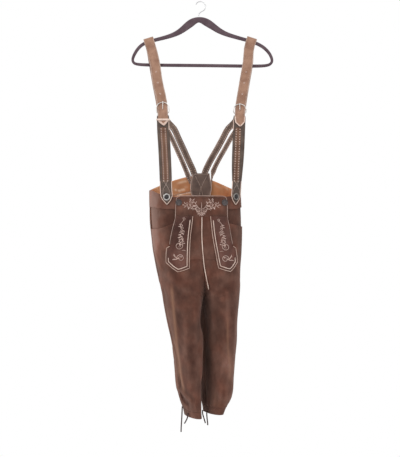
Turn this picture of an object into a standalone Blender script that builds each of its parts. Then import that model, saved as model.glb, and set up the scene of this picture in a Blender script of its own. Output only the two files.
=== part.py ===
"""Lederhosen on a clothes hanger: knee-length suede breeches with a drop front, hung by their leather braces.

Metres, +Z up, +X to the viewer's right, -Y towards the viewer. The origin is the inside top of the hook,
where a rail carries the hanger. "left" and "right" are the viewer's, and SIDES gives their signs.

The cloth is one smooth form. At each height it has a section for each leg, a rounded oval that runs from
the side seam (angle 0) round the front (-90 degrees) or the back (+90 degrees) to the inseam (180). Above
the fork the two ovals are cut off where they meet, along the centre seam. Every piece of cloth is a wall
on that form, and what lies on a piece is made from the same points, moved out.
"""

import math

import bmesh
import bpy
import numpy as np
from mathutils import Vector

SIDES = {"left": -1, "right": 1}

# Thicknesses.
SUEDE = 0.0019
WAISTBAND = 0.0026
FLAP = 0.0018
STRIP = 0.0012
FACING = 0.0016
STRAP = 0.0024
BRACE_TOP = 0.0022
BACK_BRACE = 0.0020
GAP = 0.0003

# Heights along the middle of the garment.
FORK_Z = -0.9145
FRONT_TOP_Z = -0.608
SIDE_TOP_Z = -0.584
BACK_TOP_Z = -0.535
BAND_HEIGHT_FRONT = 0.036
BAND_HEIGHT_SIDE = 0.0525
BAND_HEIGHT_BACK = 0.050
KNEE_Z = {"left": -1.262, "right": -1.252}
KNEE_BAND_HEIGHT = 0.021

FLAP_TOP_Z = -0.6055
FLAP_FOLD_Z = -0.796
STRIP_TOP_Z = -0.666
# The pocket mouths: height at the drop front's edge and at the side seam, and the distances from the
# garment's middle between which a mouth slopes down, and between which it rises to the waistband's seam.
MOUTH_Z = {"left": (-0.6855, -0.7035), "right": (-0.6865, -0.6975)}
MOUTH_SLOPE = (0.080, 0.145)
MOUTH_RISE = (0.058, 0.072)

HANGER_DEPTH = 0.005
HOOK_WIRE = 0.0036
HOOK_RADIUS = 0.0158
LACE = 0.004


class Table:
    """Rows of named columns, read between the rows along a smooth curve that doesn't overshoot."""

    def __init__(self, names, rows):
        self.names = names.split()
        self.rows = np.array(sorted(rows), float)

    def at(self, where, name):
        x = self.rows[:, 0]
        y = self.rows[:, self.names.index(name)]
        slope = np.diff(y) / np.diff(x)
        before, after = slope[:-1], slope[1:]
        same = before * after > 0
        total = np.where(same, before + after, 1)
        inner = np.where(same, 2 * before * after / total, 0)
        tangent = np.concatenate([slope[:1], inner, slope[-1:]])
        where = np.clip(np.asarray(where, float), x[0], x[-1])
        row = np.clip(np.searchsorted(x, where) - 1, 0, len(x) - 2)
        span = x[row + 1] - x[row]
        t = (where - x[row]) / span
        return (
            y[row] * (1 + 2 * t) * (1 - t) ** 2
            + y[row + 1] * t * t * (3 - 2 * t)
            + tangent[row] * span * t * (1 - t) ** 2
            - tangent[row + 1] * span * t * t * (1 - t)
        )


# The garment hangs turned a little to the viewer's right, its legs more than its waist.
FRAME = Table(
    "z x y turn",
    [
        (-0.530, -0.0075, 0.000, 6.0),
        (-0.605, -0.0075, 0.000, 6.0),
        (-0.676, -0.0100, 0.000, 7.0),
        (-0.738, -0.0132, 0.000, 8.5),
        (-0.803, -0.0120, 0.000, 10.5),
        (-0.843, -0.0085, 0.000, 11.5),
        (-0.884, -0.0040, 0.000, 12.5),
        (-0.915, 0.0000, 0.000, 13.2),
        (-0.989, 0.0036, 0.000, 14.6),
        (-1.082, 0.0087, 0.002, 16.0),
        (-1.178, 0.0088, 0.004, 17.0),
        (-1.290, 0.0080, 0.004, 17.0),
    ],
)
# out: from the middle to the side seam. share: the oval's centre as a share of its half width, 1 at the fork.
# front, back: depths. power: 2 is an ellipse, 4 nearly a box.
LEGS = {
    "left": Table(
        "z out share front back power",
        [
            (-0.530, 0.1480, 0.00, 0.100, 0.098, 4.0),
            (-0.605, 0.1490, 0.00, 0.101, 0.100, 4.0),
            (-0.642, 0.1471, 0.00, 0.104, 0.106, 3.7),
            (-0.676, 0.1444, 0.02, 0.107, 0.113, 3.4),
            (-0.738, 0.1354, 0.12, 0.110, 0.122, 3.0),
            (-0.766, 0.1325, 0.20, 0.110, 0.124, 2.9),
            (-0.803, 0.1262, 0.33, 0.110, 0.124, 2.8),
            (-0.843, 0.1211, 0.55, 0.111, 0.123, 2.7),
            (-0.884, 0.1156, 0.82, 0.112, 0.121, 2.6),
            (-0.9145, 0.1139, 1.00, 0.112, 0.118, 2.6),
            (-0.989, 0.1040, 1.32, 0.106, 0.108, 2.6),
            (-1.035, 0.0975, 1.36, 0.098, 0.098, 2.5),
            (-1.082, 0.0860, 1.50, 0.090, 0.092, 2.5),
            (-1.131, 0.0800, 1.60, 0.086, 0.089, 2.4),
            (-1.178, 0.0765, 1.62, 0.084, 0.086, 2.4),
            (-1.209, 0.0730, 1.64, 0.082, 0.083, 2.3),
            (-1.234, 0.0650, 1.75, 0.075, 0.077, 2.2),
            (-1.251, 0.0575, 1.80, 0.071, 0.073, 2.1),
            (-1.290, 0.0480, 1.75, 0.072, 0.073, 2.0),
        ],
    ),
    "right": Table(
        "z out share front back power",
        [
            (-0.530, 0.1270, 0.00, 0.100, 0.098, 4.0),
            (-0.605, 0.1280, 0.00, 0.101, 0.100, 4.0),
            (-0.642, 0.1313, 0.00, 0.104, 0.106, 3.7),
            (-0.676, 0.1343, 0.02, 0.107, 0.113, 3.4),
            (-0.738, 0.1382, 0.12, 0.110, 0.122, 3.0),
            (-0.766, 0.1370, 0.20, 0.110, 0.124, 2.9),
            (-0.803, 0.1322, 0.33, 0.110, 0.124, 2.8),
            (-0.843, 0.1265, 0.55, 0.111, 0.123, 2.7),
            (-0.884, 0.1190, 0.82, 0.112, 0.121, 2.6),
            (-0.9145, 0.1131, 1.00, 0.112, 0.118, 2.6),
            (-0.989, 0.1040, 1.26, 0.106, 0.108, 2.6),
            (-1.035, 0.1004, 1.22, 0.098, 0.099, 2.5),
            (-1.082, 0.0958, 1.17, 0.092, 0.094, 2.5),
            (-1.131, 0.0922, 1.16, 0.089, 0.091, 2.4),
            (-1.178, 0.0874, 1.19, 0.087, 0.089, 2.4),
            (-1.209, 0.0830, 1.22, 0.085, 0.086, 2.3),
            (-1.234, 0.0745, 1.26, 0.080, 0.081, 2.2),
            (-1.251, 0.0650, 1.32, 0.075, 0.076, 2.1),
            (-1.290, 0.0490, 1.40, 0.070, 0.071, 2.0),
        ],
    ),
}
# The largest folds. angle and width are degrees round the section, lean is how far the fold drifts from
# its top to its foot, and a depth below nought is a trough.
FOLD_COLUMNS = "side angle lean width top foot depth"
FOLDS = [
    ("left", -58, 10, 17, -0.780, -1.190, -0.0050),
    ("left", -118, 8, 14, -0.930, -1.215, -0.0060),
    ("left", -22, -6, 14, -0.860, -1.225, 0.0035),
    ("left", 48, -14, 18, -0.700, -1.120, -0.0070),
    ("left", 104, 10, 15, -0.900, -1.220, -0.0060),
    ("left", 140, -8, 14, -0.960, -1.200, 0.0045),
    ("right", -84, 8, 12, -0.940, -1.225, 0.0050),
    ("right", -52, 12, 15, -0.860, -1.200, -0.0055),
    ("right", -136, 6, 16, -0.930, -1.215, -0.0060),
    ("right", 40, 16, 17, -0.680, -1.100, -0.0065),
    ("right", 92, -10, 15, -0.880, -1.210, -0.0060),
    ("right", 150, 6, 14, -0.950, -1.190, 0.0040),
]
# Half widths of the drop front, and the inner and outer edges of its embroidered strips.
FLAP_EDGE = Table(
    "z half",
    [
        (-0.6055, 0.0640),
        (-0.6090, 0.0715),
        (-0.6160, 0.0745),
        (-0.6500, 0.0770),
        (-0.6650, 0.0768),
        (-0.7000, 0.0842),
        (-0.7620, 0.0940),
        (-0.8000, 0.0950),
    ],
)
STRIP_EDGES = Table(
    "z inner outer",
    [
        (-0.6600, 0.0276, 0.0758),
        (-0.7000, 0.0320, 0.0832),
        (-0.7580, 0.0390, 0.0925),
        (-0.7625, 0.0395, 0.1010),
        (-0.8050, 0.0440, 0.1050),
        (-0.8320, 0.0470, 0.1050),
    ],
)
# The strip's foot, from its inner edge (0) to its outer one (1).
STRIP_FOOT = Table("across z", [(0.0, -0.8195), (0.57, -0.8305), (1.0, -0.8045)])


def clear_scene():
    for obj in list(bpy.data.objects):
        bpy.data.objects.remove(obj, do_unlink=True)


def material(name, colour, roughness, metallic=0.0):
    made = bpy.data.materials.new(name)
    made.use_nodes = True
    shader = made.node_tree.nodes["Principled BSDF"]
    shader.inputs["Base Color"].default_value = (*colour, 1)
    shader.inputs["Roughness"].default_value = roughness
    shader.inputs["Metallic"].default_value = metallic
    return made


def solid(name, points, faces, look):
    """A mesh object from points and faces, its faces turned outwards."""
    mesh = bpy.data.meshes.new(name)
    mesh.from_pydata([tuple(p) for p in points], [], faces)
    body = bmesh.new()
    body.from_mesh(mesh)
    bmesh.ops.recalc_face_normals(body, faces=body.faces)
    body.to_mesh(mesh)
    body.free()
    mesh.shade_smooth()
    mesh.set_sharp_from_angle(angle=math.radians(40))
    made = bpy.data.objects.new(name, mesh)
    mesh.materials.append(look)
    bpy.context.collection.objects.link(made)
    return made


def wall(name, outer, inner, look, ring=False):
    """A closed wall between two grids of points. In a ring each row closes on itself."""
    rows, columns = outer.shape[:2]
    points = np.concatenate([outer.reshape(-1, 3), inner.reshape(-1, 3)])
    back = rows * columns
    last = columns if ring else columns - 1
    faces = []
    for i in range(rows - 1):
        for j in range(last):
            a = i * columns + j
            b = i * columns + (j + 1) % columns
            faces.append((a, b, b + columns, a + columns))
            faces.append((back + a, back + a + columns, back + b + columns, back + b))
    for i in (0, rows - 1):
        for j in range(last):
            a = i * columns + j
            b = i * columns + (j + 1) % columns
            faces.append((a, back + a, back + b, b))
    if not ring:
        for i in range(rows - 1):
            for j in (0, columns - 1):
                a = i * columns + j
                faces.append((a, a + columns, back + a + columns, back + a))
    return solid(name, points, faces, look)


def smooth_step(x, low, high):
    t = np.clip((x - low) / (high - low), 0, 1)
    return t * t * (3 - 2 * t)


def fold_height(side, angle, z):
    """How far the folds move the cloth out, at an angle round the section and a height."""
    total = np.zeros(np.broadcast(angle, z).shape)
    for owner, middle, lean, width, top, foot, depth in FOLDS:
        if owner != side:
            continue
        down = np.clip((top - z) / (top - foot), 0, 1)
        swell = smooth_step(down, 0, 0.35) * (1 - smooth_step(down, 0.75, 1))
        off = np.degrees(angle) - (middle + lean * down)
        off = (off + 180) % 360 - 180
        total += depth * swell * np.exp(-((off / width) ** 2))
    return total


def section_point(side, angle, z, folds=True):
    """A point of the cloth's middle surface, in the world."""
    leg = LEGS[side]
    sign = SIDES[side]
    share = leg.at(z, "share")
    half = leg.at(z, "out") / (1 + share)
    depth = np.where(np.sin(angle) < 0, leg.at(z, "front"), leg.at(z, "back"))
    power = leg.at(z, "power")
    cosine, sine = np.cos(angle), np.sin(angle)
    stretch = (np.abs(cosine) ** power + np.abs(sine) ** power) ** (-1 / power)
    seam_room = GAP / 2 + SUEDE / 2 * np.minimum(share, 1)
    x = seam_room + share * half + half * cosine * stretch
    y = depth * sine * stretch
    if folds:
        push = fold_height(side, angle, z)
        away = np.hypot(cosine / half, sine / depth)
        x = x + push * cosine / half / away
        y = y + push * sine / depth / away
    turn = np.radians(FRAME.at(z, "turn"))
    x = x * sign
    return np.stack(
        [
            FRAME.at(z, "x") + x * np.cos(turn) - y * np.sin(turn),
            FRAME.at(z, "y") + x * np.sin(turn) + y * np.cos(turn),
            np.broadcast_to(z, x.shape).astype(float),
        ],
        axis=-1,
    )


def section_normal(side, angle, z):
    """The way out of the cloth there."""
    step = 1e-3
    round_it = section_point(side, angle + step, z) - section_point(side, angle - step, z)
    up_it = section_point(side, angle, z + step) - section_point(side, angle, z - step)
    normal = np.cross(round_it, up_it) * SIDES[side]
    return normal / np.linalg.norm(normal, axis=-1, keepdims=True)


def layer(side, angle, z, height):
    """The middle surface moved out by a height, which may vary from point to point."""
    height = np.broadcast_to(height, np.broadcast(angle, z).shape)
    return section_point(side, angle, z) + section_normal(side, angle, z) * height[..., None]


def centre_angle(side, z):
    """The angle at which the section reaches the centre seam, or the inseam below the fork."""
    leg = LEGS[side]
    share = np.clip(leg.at(z, "share"), 0, 1)
    power = leg.at(z, "power")
    return np.arctan2((1 - share**power) ** (1 / power), -share)


def across(x, z, height, back=False):
    """Points on the front (or back) at a distance x to the right of the garment's middle, moved out."""
    x, z, height = np.broadcast_arrays(np.asarray(x, float), z, height)
    result = np.zeros(x.shape + (3,))
    for side, sign in SIDES.items():
        here = (x < 0) if sign < 0 else (x >= 0)
        leg = LEGS[side]
        share = leg.at(z[here], "share")
        half = leg.at(z[here], "out") / (1 + share)
        power = leg.at(z[here], "power")
        along = np.clip((np.abs(x[here]) - share * half) / half, -1, 1)
        angle = np.arctan2((1 - np.abs(along) ** power) ** (1 / power), along)
        result[here] = layer(side, angle if back else -angle, z[here], height[here])
    return result


def top_z(angle):
    """The waist's top edge: low at the front, highest in the middle of the back."""
    edge = waist_share(angle)
    front = FRONT_TOP_Z + (SIDE_TOP_Z - FRONT_TOP_Z) * edge**5
    back = BACK_TOP_Z + (SIDE_TOP_Z - BACK_TOP_Z) * edge**1.5
    return np.where(np.sin(angle) < 0, front, back)


def waist_share(angle):
    """How far across the waist an angle lies, from 0 in the middle to 1 at the side seam."""
    power = 4.0
    cosine, sine = np.abs(np.cos(angle)), np.abs(np.sin(angle))
    return cosine * (cosine**power + sine**power) ** (-1 / power)


def band_z(angle):
    """The seam below the waistband."""
    edge = waist_share(angle)
    front = BAND_HEIGHT_FRONT + (BAND_HEIGHT_SIDE - BAND_HEIGHT_FRONT) * edge**4
    back = BAND_HEIGHT_BACK + (BAND_HEIGHT_SIDE - BAND_HEIGHT_BACK) * edge**2
    return top_z(angle) - np.where(np.sin(angle) < 0, front, back)


def inset(side, angle, z, end):
    """Moves an edge of a piece half a seam's gap away from its neighbour, along the section."""
    step = 1e-3
    reach = section_point(side, angle + step, z, False) - section_point(side, angle - step, z, False)
    return angle - end * GAP / 2 / (np.linalg.norm(reach, axis=-1) / (2 * step))


def leg_panel(name, side, face, look, top_of, columns=12, rows_above=13, rows_below=14):
    """A front (face -1) or back (face +1) of one side, from its top edge to the knee band."""
    share = np.linspace(0, 1, columns + 1)[None, :]
    hem = KNEE_Z[side] + GAP / 2
    leg = LEGS[side]

    turn_rows = 6
    sample = np.linspace(-0.842, FORK_Z, 400)
    reach = np.clip(leg.at(sample, "share"), 0, 1)
    power = leg.at(sample, "power")
    depth = (1 - reach**power) ** (1 / power)
    turn = np.interp(np.linspace(0, depth[0], turn_rows + 1)[::-1], depth[::-1], sample[::-1])

    upper = np.linspace(0, 1, rows_above + 1)[:-1]
    steady = rows_above - turn_rows
    z = np.zeros((rows_above + rows_below + 1, columns + 1))
    for j, part in enumerate(share[0]):
        top = top_of(part)
        at_side = top + (FORK_Z - top) * upper
        at_centre = np.concatenate([np.linspace(top, turn[0], steady + 1)[:-1], turn[:-1]])
        z[:rows_above, j] = at_side + (at_centre - at_side) * part**2
        z[rows_above:, j] = np.linspace(FORK_Z, hem, rows_below + 1)
    angle = face * share * centre_angle(side, z)
    angle[:, 0] = inset(side, angle[:, 0], z[:, 0], -face)
    angle[:, -1] = inset(side, angle[:, -1], z[:, -1], face)
    outer = layer(side, angle, z, SUEDE / 2)
    inner = layer(side, angle, z, -SUEDE / 2)
    return wall(name, outer, inner, look)


def pocket_mouth(side, part):
    """The top of a front panel: the slanted pocket mouth, and under the drop front the waistband's seam."""
    angle = -part * math.pi / 2
    seam = float(band_z(angle)) - GAP
    distance = waist_share(angle) * float(LEGS[side].at(-0.65, "out"))
    inner_z, outer_z = MOUTH_Z[side]
    mouth = inner_z + (outer_z - inner_z) * smooth_step(distance, *MOUTH_SLOPE)
    return mouth + (seam - mouth) * (1 - smooth_step(distance, *MOUTH_RISE))


def ribbon(name, route, widths, thickness, hints, look, spacing=0.013):
    """A strap along a route of points. widths are (distance from the start, width), hints the way across."""
    line, lengths = smooth_route(route, spacing)
    hint = np.array([np.interp(lengths, np.linspace(0, lengths[-1], len(hints)), [h[k] for h in hints])
                     for k in range(3)]).T
    tangent = np.gradient(line, lengths, axis=0)
    tangent /= np.linalg.norm(tangent, axis=1)[:, None]
    side_way = hint - tangent * (hint * tangent).sum(1)[:, None]
    side_way /= np.linalg.norm(side_way, axis=1)[:, None]
    normal = np.cross(side_way, tangent)
    distances, sizes = zip(*widths)
    half = np.interp(lengths, distances, sizes)[:, None] / 2
    across_steps = np.array([-1, 1])
    outer = np.stack([line + side_way * half * s + normal * thickness / 2 for s in across_steps], axis=1)
    inner = np.stack([line + side_way * half * s - normal * thickness / 2 for s in across_steps], axis=1)
    return wall(name, outer, inner, look)


def smooth_route(route, spacing):
    """A smooth curve through the route's points, read at even steps, with the distance to each."""
    route = np.array(route, float)
    ends = np.concatenate([[2 * route[0] - route[1]], route, [2 * route[-1] - route[-2]]])
    fine = []
    for i in range(1, len(ends) - 2):
        before, a, b, after = ends[i - 1 : i + 3]
        knots = [np.linalg.norm(q - p) for p, q in ((before, a), (a, b), (b, after))]
        m1 = (b - a) + knots[1] * ((a - before) / knots[0] - (b - before) / (knots[0] + knots[1]))
        m2 = (b - a) + knots[1] * ((after - b) / knots[2] - (after - a) / (knots[1] + knots[2]))
        for t in np.linspace(0, 1, 40, endpoint=False):
            fine.append(
                a * (1 + 2 * t) * (1 - t) ** 2
                + b * t * t * (3 - 2 * t)
                + m1 * t * (1 - t) ** 2
                - m2 * t * t * (1 - t)
            )
    fine.append(ends[-2])
    fine = np.array(fine)
    run = np.concatenate([[0], np.cumsum(np.linalg.norm(np.diff(fine, axis=0), axis=1))])
    steps = max(2, round(run[-1] / spacing))
    at = np.linspace(0, run[-1], steps + 1)
    return np.array([np.interp(at, run, fine[:, k]) for k in range(3)]).T, at


def bead(name, line, radius, look, sides=6, closed=False):
    """A thin round tube along a line of points, with flat ends."""
    line = np.array(line)
    if closed:
        tangent = np.roll(line, -1, axis=0) - np.roll(line, 1, axis=0)
    else:
        tangent = np.gradient(line, axis=0)
    tangent /= np.linalg.norm(tangent, axis=1)[:, None]
    up = np.array([0.0, 1.0, 0.0])
    first = np.cross(tangent, up)
    first /= np.linalg.norm(first, axis=1)[:, None]
    second = np.cross(tangent, first)
    angles = np.linspace(0, 2 * math.pi, sides, endpoint=False)
    points = [
        p + (u * math.cos(a) + v * math.sin(a)) * radius
        for p, u, v in zip(line, first, second)
        for a in angles
    ]
    count = len(line)
    faces = []
    for i in range(count if closed else count - 1):
        for j in range(sides):
            a = i * sides + j
            b = i * sides + (j + 1) % sides
            c = (i + 1) % count * sides + (j + 1) % sides
            d = (i + 1) % count * sides + j
            faces.append((a, b, c, d))
    if not closed:
        faces.append(tuple(range(sides)))
        faces.append(tuple(range((count - 1) * sides, count * sides)))
    return solid(name, points, faces, look)


def legs_and_waist(suede, facing):
    """Fronts, backs, waistband and the pockets' facings, cut and placed as a tailor would."""
    for side in SIDES:
        leg_panel(f"front_{side}", side, -1, suede, lambda part: pocket_mouth(side, part))
        leg_panel(f"back_{side}", side, 1, suede, lambda part: float(band_z(part * math.pi / 2)) - GAP)

        part = np.linspace(0, 1, 13)[None, :]
        rise = np.linspace(0, 1, 3)[:, None]
        angle = -part * math.pi / 2 * np.ones_like(rise)
        z = top_z(angle) + (band_z(angle) - top_z(angle)) * rise
        angle[:, 0] = inset(side, angle[:, 0], z[:, 0], 1)
        angle[:, -1] = inset(side, angle[:, -1], z[:, -1], -1)
        outer = layer(side, angle, z, WAISTBAND / 2)
        inner = layer(side, angle, z, -WAISTBAND / 2)
        wall(f"waistband_front_{side}", outer, inner, suede)

        part = np.array([-0.08, *np.arange(0, 10) / 12])[None, :]
        rise = np.linspace(0, 1, 6)[:, None]
        angle = -part * math.pi / 2 * np.ones_like(rise)
        top = band_z(angle) + 0.010
        z = top + (-0.745 - top) * rise
        depth = -WAISTBAND / 2 - 0.0006 - FACING / 2
        outer = layer(side, angle, z, depth + FACING / 2)
        inner = layer(side, angle, z, depth - FACING / 2)
        wall(f"pocket_facing_{side}", outer, inner, facing)

        foot = KNEE_Z[side] - GAP / 2
        angle = np.linspace(-math.pi, math.pi, 29)[None, :-1] * np.ones((4, 1))
        z = foot - np.linspace(0, KNEE_BAND_HEIGHT, 4)[:, None] + 0 * angle
        outer = layer(side, angle, z, 0.0005)
        inner = layer(side, angle, z, -0.0020)
        wall(f"knee_band_{side}", outer, inner, suede, ring=True)

    rise = np.linspace(0, 1, 3)[:, None]
    rows = {}
    for side in SIDES:
        part = np.linspace(0, 1, 13)[None, :]
        angle = part * math.pi / 2 * np.ones_like(rise)
        z = top_z(angle) + (band_z(angle) - top_z(angle)) * rise
        angle[:, 0] = inset(side, angle[:, 0], z[:, 0], -1)
        rows[side] = (layer(side, angle, z, WAISTBAND / 2), layer(side, angle, z, -WAISTBAND / 2))
    outer, inner = (
        np.concatenate([rows["left"][k][:, :-1], rows["right"][k][:, ::-1]], axis=1) for k in (0, 1)
    )
    wall("waistband_back", outer, inner, suede)


def flap_skive(z):
    """The drop front's thickness, thinned towards the fold where it runs into the legs."""
    return FLAP - (FLAP - 0.0006) * (1 - smooth_step(z, FLAP_FOLD_Z, FLAP_FOLD_Z + 0.030))


def flap_under(z):
    """Height of the drop front's inner side above the middle of the cloth below it."""
    over_band = WAISTBAND / 2 + 0.0005
    over_leg = SUEDE / 2 + 0.0005
    return over_leg + (over_band - over_leg) * smooth_step(z, -0.670, -0.646)


def flap_top(z):
    """Height of the drop front's face."""
    return flap_under(z) + flap_skive(z)


def strip_under(z):
    """Height of a strip's inner side: on the drop front, then down on to the leg below the fold."""
    on_leg = SUEDE / 2 + 0.0006
    return on_leg + (flap_top(z) + 0.0007 - on_leg) * smooth_step(z, -0.818, -0.800)


def drop_front(suede, cream, horn):
    """The buttoned flap, its embroidered strips, its piping, the centre welt and the two buttons."""
    z = np.array([FLAP_TOP_Z, -0.6070, -0.6090, -0.6130, -0.6200, *np.linspace(-0.632, FLAP_FOLD_Z, 12)])[:, None]
    t = np.linspace(-1, 1, 13)[None, :]
    x = FLAP_EDGE.at(z, "half") * t
    z = z + 0 * x
    wall("flap", across(x, z, flap_top(z)), across(x, z, flap_under(z)), suede)

    v = np.array([0, 0.14, 0.28, 0.42, 0.56, 0.665, 0.70, 0.80, 0.90, 1.0])[:, None]
    t = np.array([0, 0.2, 0.4, 0.57, 0.78, 1.0])[None, :]
    z = STRIP_TOP_Z + (STRIP_FOOT.at(t, "z") - STRIP_TOP_Z) * v
    inner_edge, outer_edge = STRIP_EDGES.at(z, "inner"), STRIP_EDGES.at(z, "outer")
    x = inner_edge + (outer_edge - inner_edge) * t
    under = strip_under(z)
    for side, sign in SIDES.items():
        wall(f"flap_strip_{side}", across(sign * x, z, under + STRIP), across(sign * x, z, under), suede)

    radius = 0.0011
    off_edge = radius + 0.0004
    side_z = np.linspace(-0.750, -0.622, 11)
    line_x = FLAP_EDGE.at(side_z, "half") + off_edge
    corner_z = np.array([-0.6140, -0.6082, -0.6044])
    corner_x = np.array([0.0763, 0.0736, 0.0665])
    top_x = np.linspace(0.055, -0.055, 9)
    half_x = np.concatenate([line_x, corner_x])
    x = np.concatenate([half_x, top_x, -half_x[::-1]])
    z = np.concatenate([side_z, corner_z, np.full(9, FLAP_TOP_Z + off_edge + 0.0003), corner_z[::-1], side_z[::-1]])
    bead("flap_piping", across(x, z, flap_under(z) + FLAP / 2 + 0.0003), radius, cream)

    for side, sign in SIDES.items():
        outer_z = np.array([-0.7560, -0.7588, -0.7612, -0.7680, -0.7780, -0.7900, -0.8045])
        outer_x = STRIP_EDGES.at(outer_z, "outer") + off_edge
        outer_x[:3] = 0.0945, 0.0990, 0.1026
        foot_t = np.array([0.8, 0.57, 0.3, 0.0])
        foot_z = STRIP_FOOT.at(foot_t, "z") - off_edge - 0.0006
        foot_x = STRIP_EDGES.at(foot_z, "inner") * (1 - foot_t) + STRIP_EDGES.at(foot_z, "outer") * foot_t
        foot_x[-1] -= off_edge
        inner_z = np.linspace(-0.811, STRIP_TOP_Z, 12)
        inner_x = STRIP_EDGES.at(inner_z, "inner") - off_edge
        x = np.concatenate([outer_x, foot_x, inner_x])
        z = np.concatenate([outer_z, foot_z, inner_z])
        height = strip_under(z) + STRIP / 2 + 0.0004
        bead(f"strip_piping_{side}", across(sign * x, z, height), radius, cream)

    welt_radius = 0.0013
    z = np.concatenate([np.linspace(-0.668, -0.775, 10), np.linspace(-0.790, -0.885, 8)])
    x = np.interp(-z, [0.668, 0.775, 0.820, 0.850, 0.885], [0.0005, 0.0005, 0.0020, 0.0045, 0.0095])
    ground = SUEDE / 2 + 0.0003 + (flap_top(z) - SUEDE / 2) * smooth_step(z, -0.812, -0.790)
    bead("centre_welt", across(x, z, ground + welt_radius + 0.0004), welt_radius, cream)

    for side, x in (("left", -0.0690), ("right", 0.0700)):
        place_button(f"flap_button_{side}", x, -0.6240, 0.0098, float(flap_top(-0.624)), horn)


def place_button(name, x, z, radius, ground, look):
    """A turned button with a rolled rim and a sunk middle, lying on the front."""
    gap = 0.0006
    seat = across([x], [z], [ground + gap])[0]
    beyond = across([x], [z], [ground + gap + 0.01])[0]
    normal = Vector(beyond - seat).normalized()
    profile = [(0.0, 0.0), (0.86, 0.0), (1.0, 0.10), (0.99, 0.24), (0.86, 0.34), (0.68, 0.28), (0.60, 0.20)]
    body = bmesh.new()
    ring = [body.verts.new((r * radius, 0, h * radius)) for r, h in profile[1:]]
    edges = [body.edges.new(pair) for pair in zip(ring, ring[1:])]
    bmesh.ops.spin(
        body, geom=ring + edges, axis=(0, 0, 1), cent=(0, 0, 0), steps=20, angle=2 * math.pi, use_duplicate=False
    )
    bmesh.ops.remove_doubles(body, verts=body.verts, dist=1e-5)
    bmesh.ops.holes_fill(body, edges=body.edges)
    bmesh.ops.recalc_face_normals(body, faces=body.faces)
    mesh = bpy.data.meshes.new(name)
    body.to_mesh(mesh)
    body.free()
    mesh.shade_smooth()
    mesh.set_sharp_from_angle(angle=math.radians(40))
    mesh.materials.append(look)
    made = bpy.data.objects.new(name, mesh)
    made.location = seat
    made.rotation_euler = normal.to_track_quat("Z", "Y").to_euler()
    bpy.context.collection.objects.link(made)


# Where the braces' parts lie, seen from the front. lean is the arm of the hanger's slope.
BRACES = {
    "left": {
        "arm": (-0.1590, -0.1225),
        "lean": 16.7,
        "top_front": [(-0.1413, -0.190), (-0.1317, -0.2527), (-0.1192, -0.3100), (-0.1158, -0.3325)],
        "tongue": [(-0.1152, -0.3450), (-0.1148, -0.3560), (-0.1115, -0.3870)],
        "buckle": (-0.1155, -0.3135, -0.3505),
        "front": [(-0.1150, -0.3560), (-0.1140, -0.3937), (-0.1096, -0.4609), (-0.1062, -0.5274)],
        "foot": [(-0.1030, -0.5950), (-0.1014, -0.6120), (-0.1010, -0.6305)],
        "button": (-0.1014, -0.6075),
        "top_back": [(-0.1450, -0.190), (-0.1350, -0.2500), (-0.1240, -0.3080), (-0.1190, -0.3450)],
        "back": [(-0.1172, -0.3350), (-0.1120, -0.3500), (-0.1065, -0.3625), (-0.0980, -0.3730), (-0.0858, -0.3850), (-0.0697, -0.4180),
                 (-0.0536, -0.4520), (-0.0386, -0.4857)],
        "back_end": [(-0.0200, -0.5280), (-0.0160, -0.5430)],
        "outer_top": [(-0.1215, -0.3360, 0.0036), (-0.1195, -0.3480, 0.0036), (-0.1150, -0.3660, 0.0034),
                      (-0.1092, -0.3815, 0.0014)],
        "outer": [(-0.1032, -0.3935), (-0.0905, -0.4180), (-0.0748, -0.4520), (-0.0595, -0.4857)],
        "outer_end": [(-0.0420, -0.5280), (-0.0360, -0.5430), (-0.0335, -0.5600)],
        "waist_y": -0.1035,
    },
    "right": {
        "arm": (0.1566, -0.1220),
        "lean": -17.5,
        "top_front": [(0.1459, -0.190), (0.1350, -0.2527), (0.1250, -0.3120), (0.1215, -0.3350)],
        "tongue": [(0.1208, -0.3450), (0.1206, -0.3560), (0.1220, -0.3890)],
        "buckle": (0.1208, -0.3180, -0.3505),
        "front": [(0.1200, -0.3560), (0.1183, -0.3937), (0.1155, -0.4609), (0.1119, -0.5274)],
        "foot": [(0.1085, -0.5950), (0.1070, -0.6120), (0.1070, -0.6300)],
        "button": (0.1066, -0.6055),
        "top_back": [(0.1480, -0.190), (0.1380, -0.2500), (0.1290, -0.3080), (0.1240, -0.3450)],
        "back": [(0.1228, -0.3350), (0.1180, -0.3500), (0.1110, -0.3625), (0.1010, -0.3745), (0.0886, -0.3860), (0.0706, -0.4180),
                 (0.0518, -0.4520), (0.0323, -0.4857)],
        "back_end": [(0.0130, -0.5280), (0.0095, -0.5430)],
        "outer_top": [(0.1270, -0.3360, 0.0036), (0.1250, -0.3480, 0.0036), (0.1220, -0.3630, 0.0034),
                      (0.1190, -0.3755, 0.0014)],
        "outer": [(0.1155, -0.3850), (0.0952, -0.4180), (0.0764, -0.4520), (0.0570, -0.4857)],
        "outer_end": [(0.0385, -0.5280), (0.0360, -0.5430), (0.0350, -0.5600)],
        "waist_y": -0.0765,
    },
}
BRACE_TOP_WIDTH = 0.031
BRACE_WIDTH = 0.0375
BACK_BRACE_WIDTH = 0.0198
OUTER_BRACE_WIDTH = 0.0150
ARM_DROP = 0.0076
LOBE = [(0.158, 0.0165), (0.1655, 0.0165), (0.171, 0.012), (0.176, 0.004)]


def front_y(z, waist_y):
    """A front brace hangs straight from the hanger to the waist."""
    return -0.0060 + (waist_y + 0.0060) * (z + 0.125) / (-0.600 + 0.125)


def back_y(z, waist_y):
    """A back brace hangs straight from the hanger to the inside of the back waist."""
    return 0.0060 + (waist_y - 0.0060) * (z + 0.125) / (-0.528 + 0.125)


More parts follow.
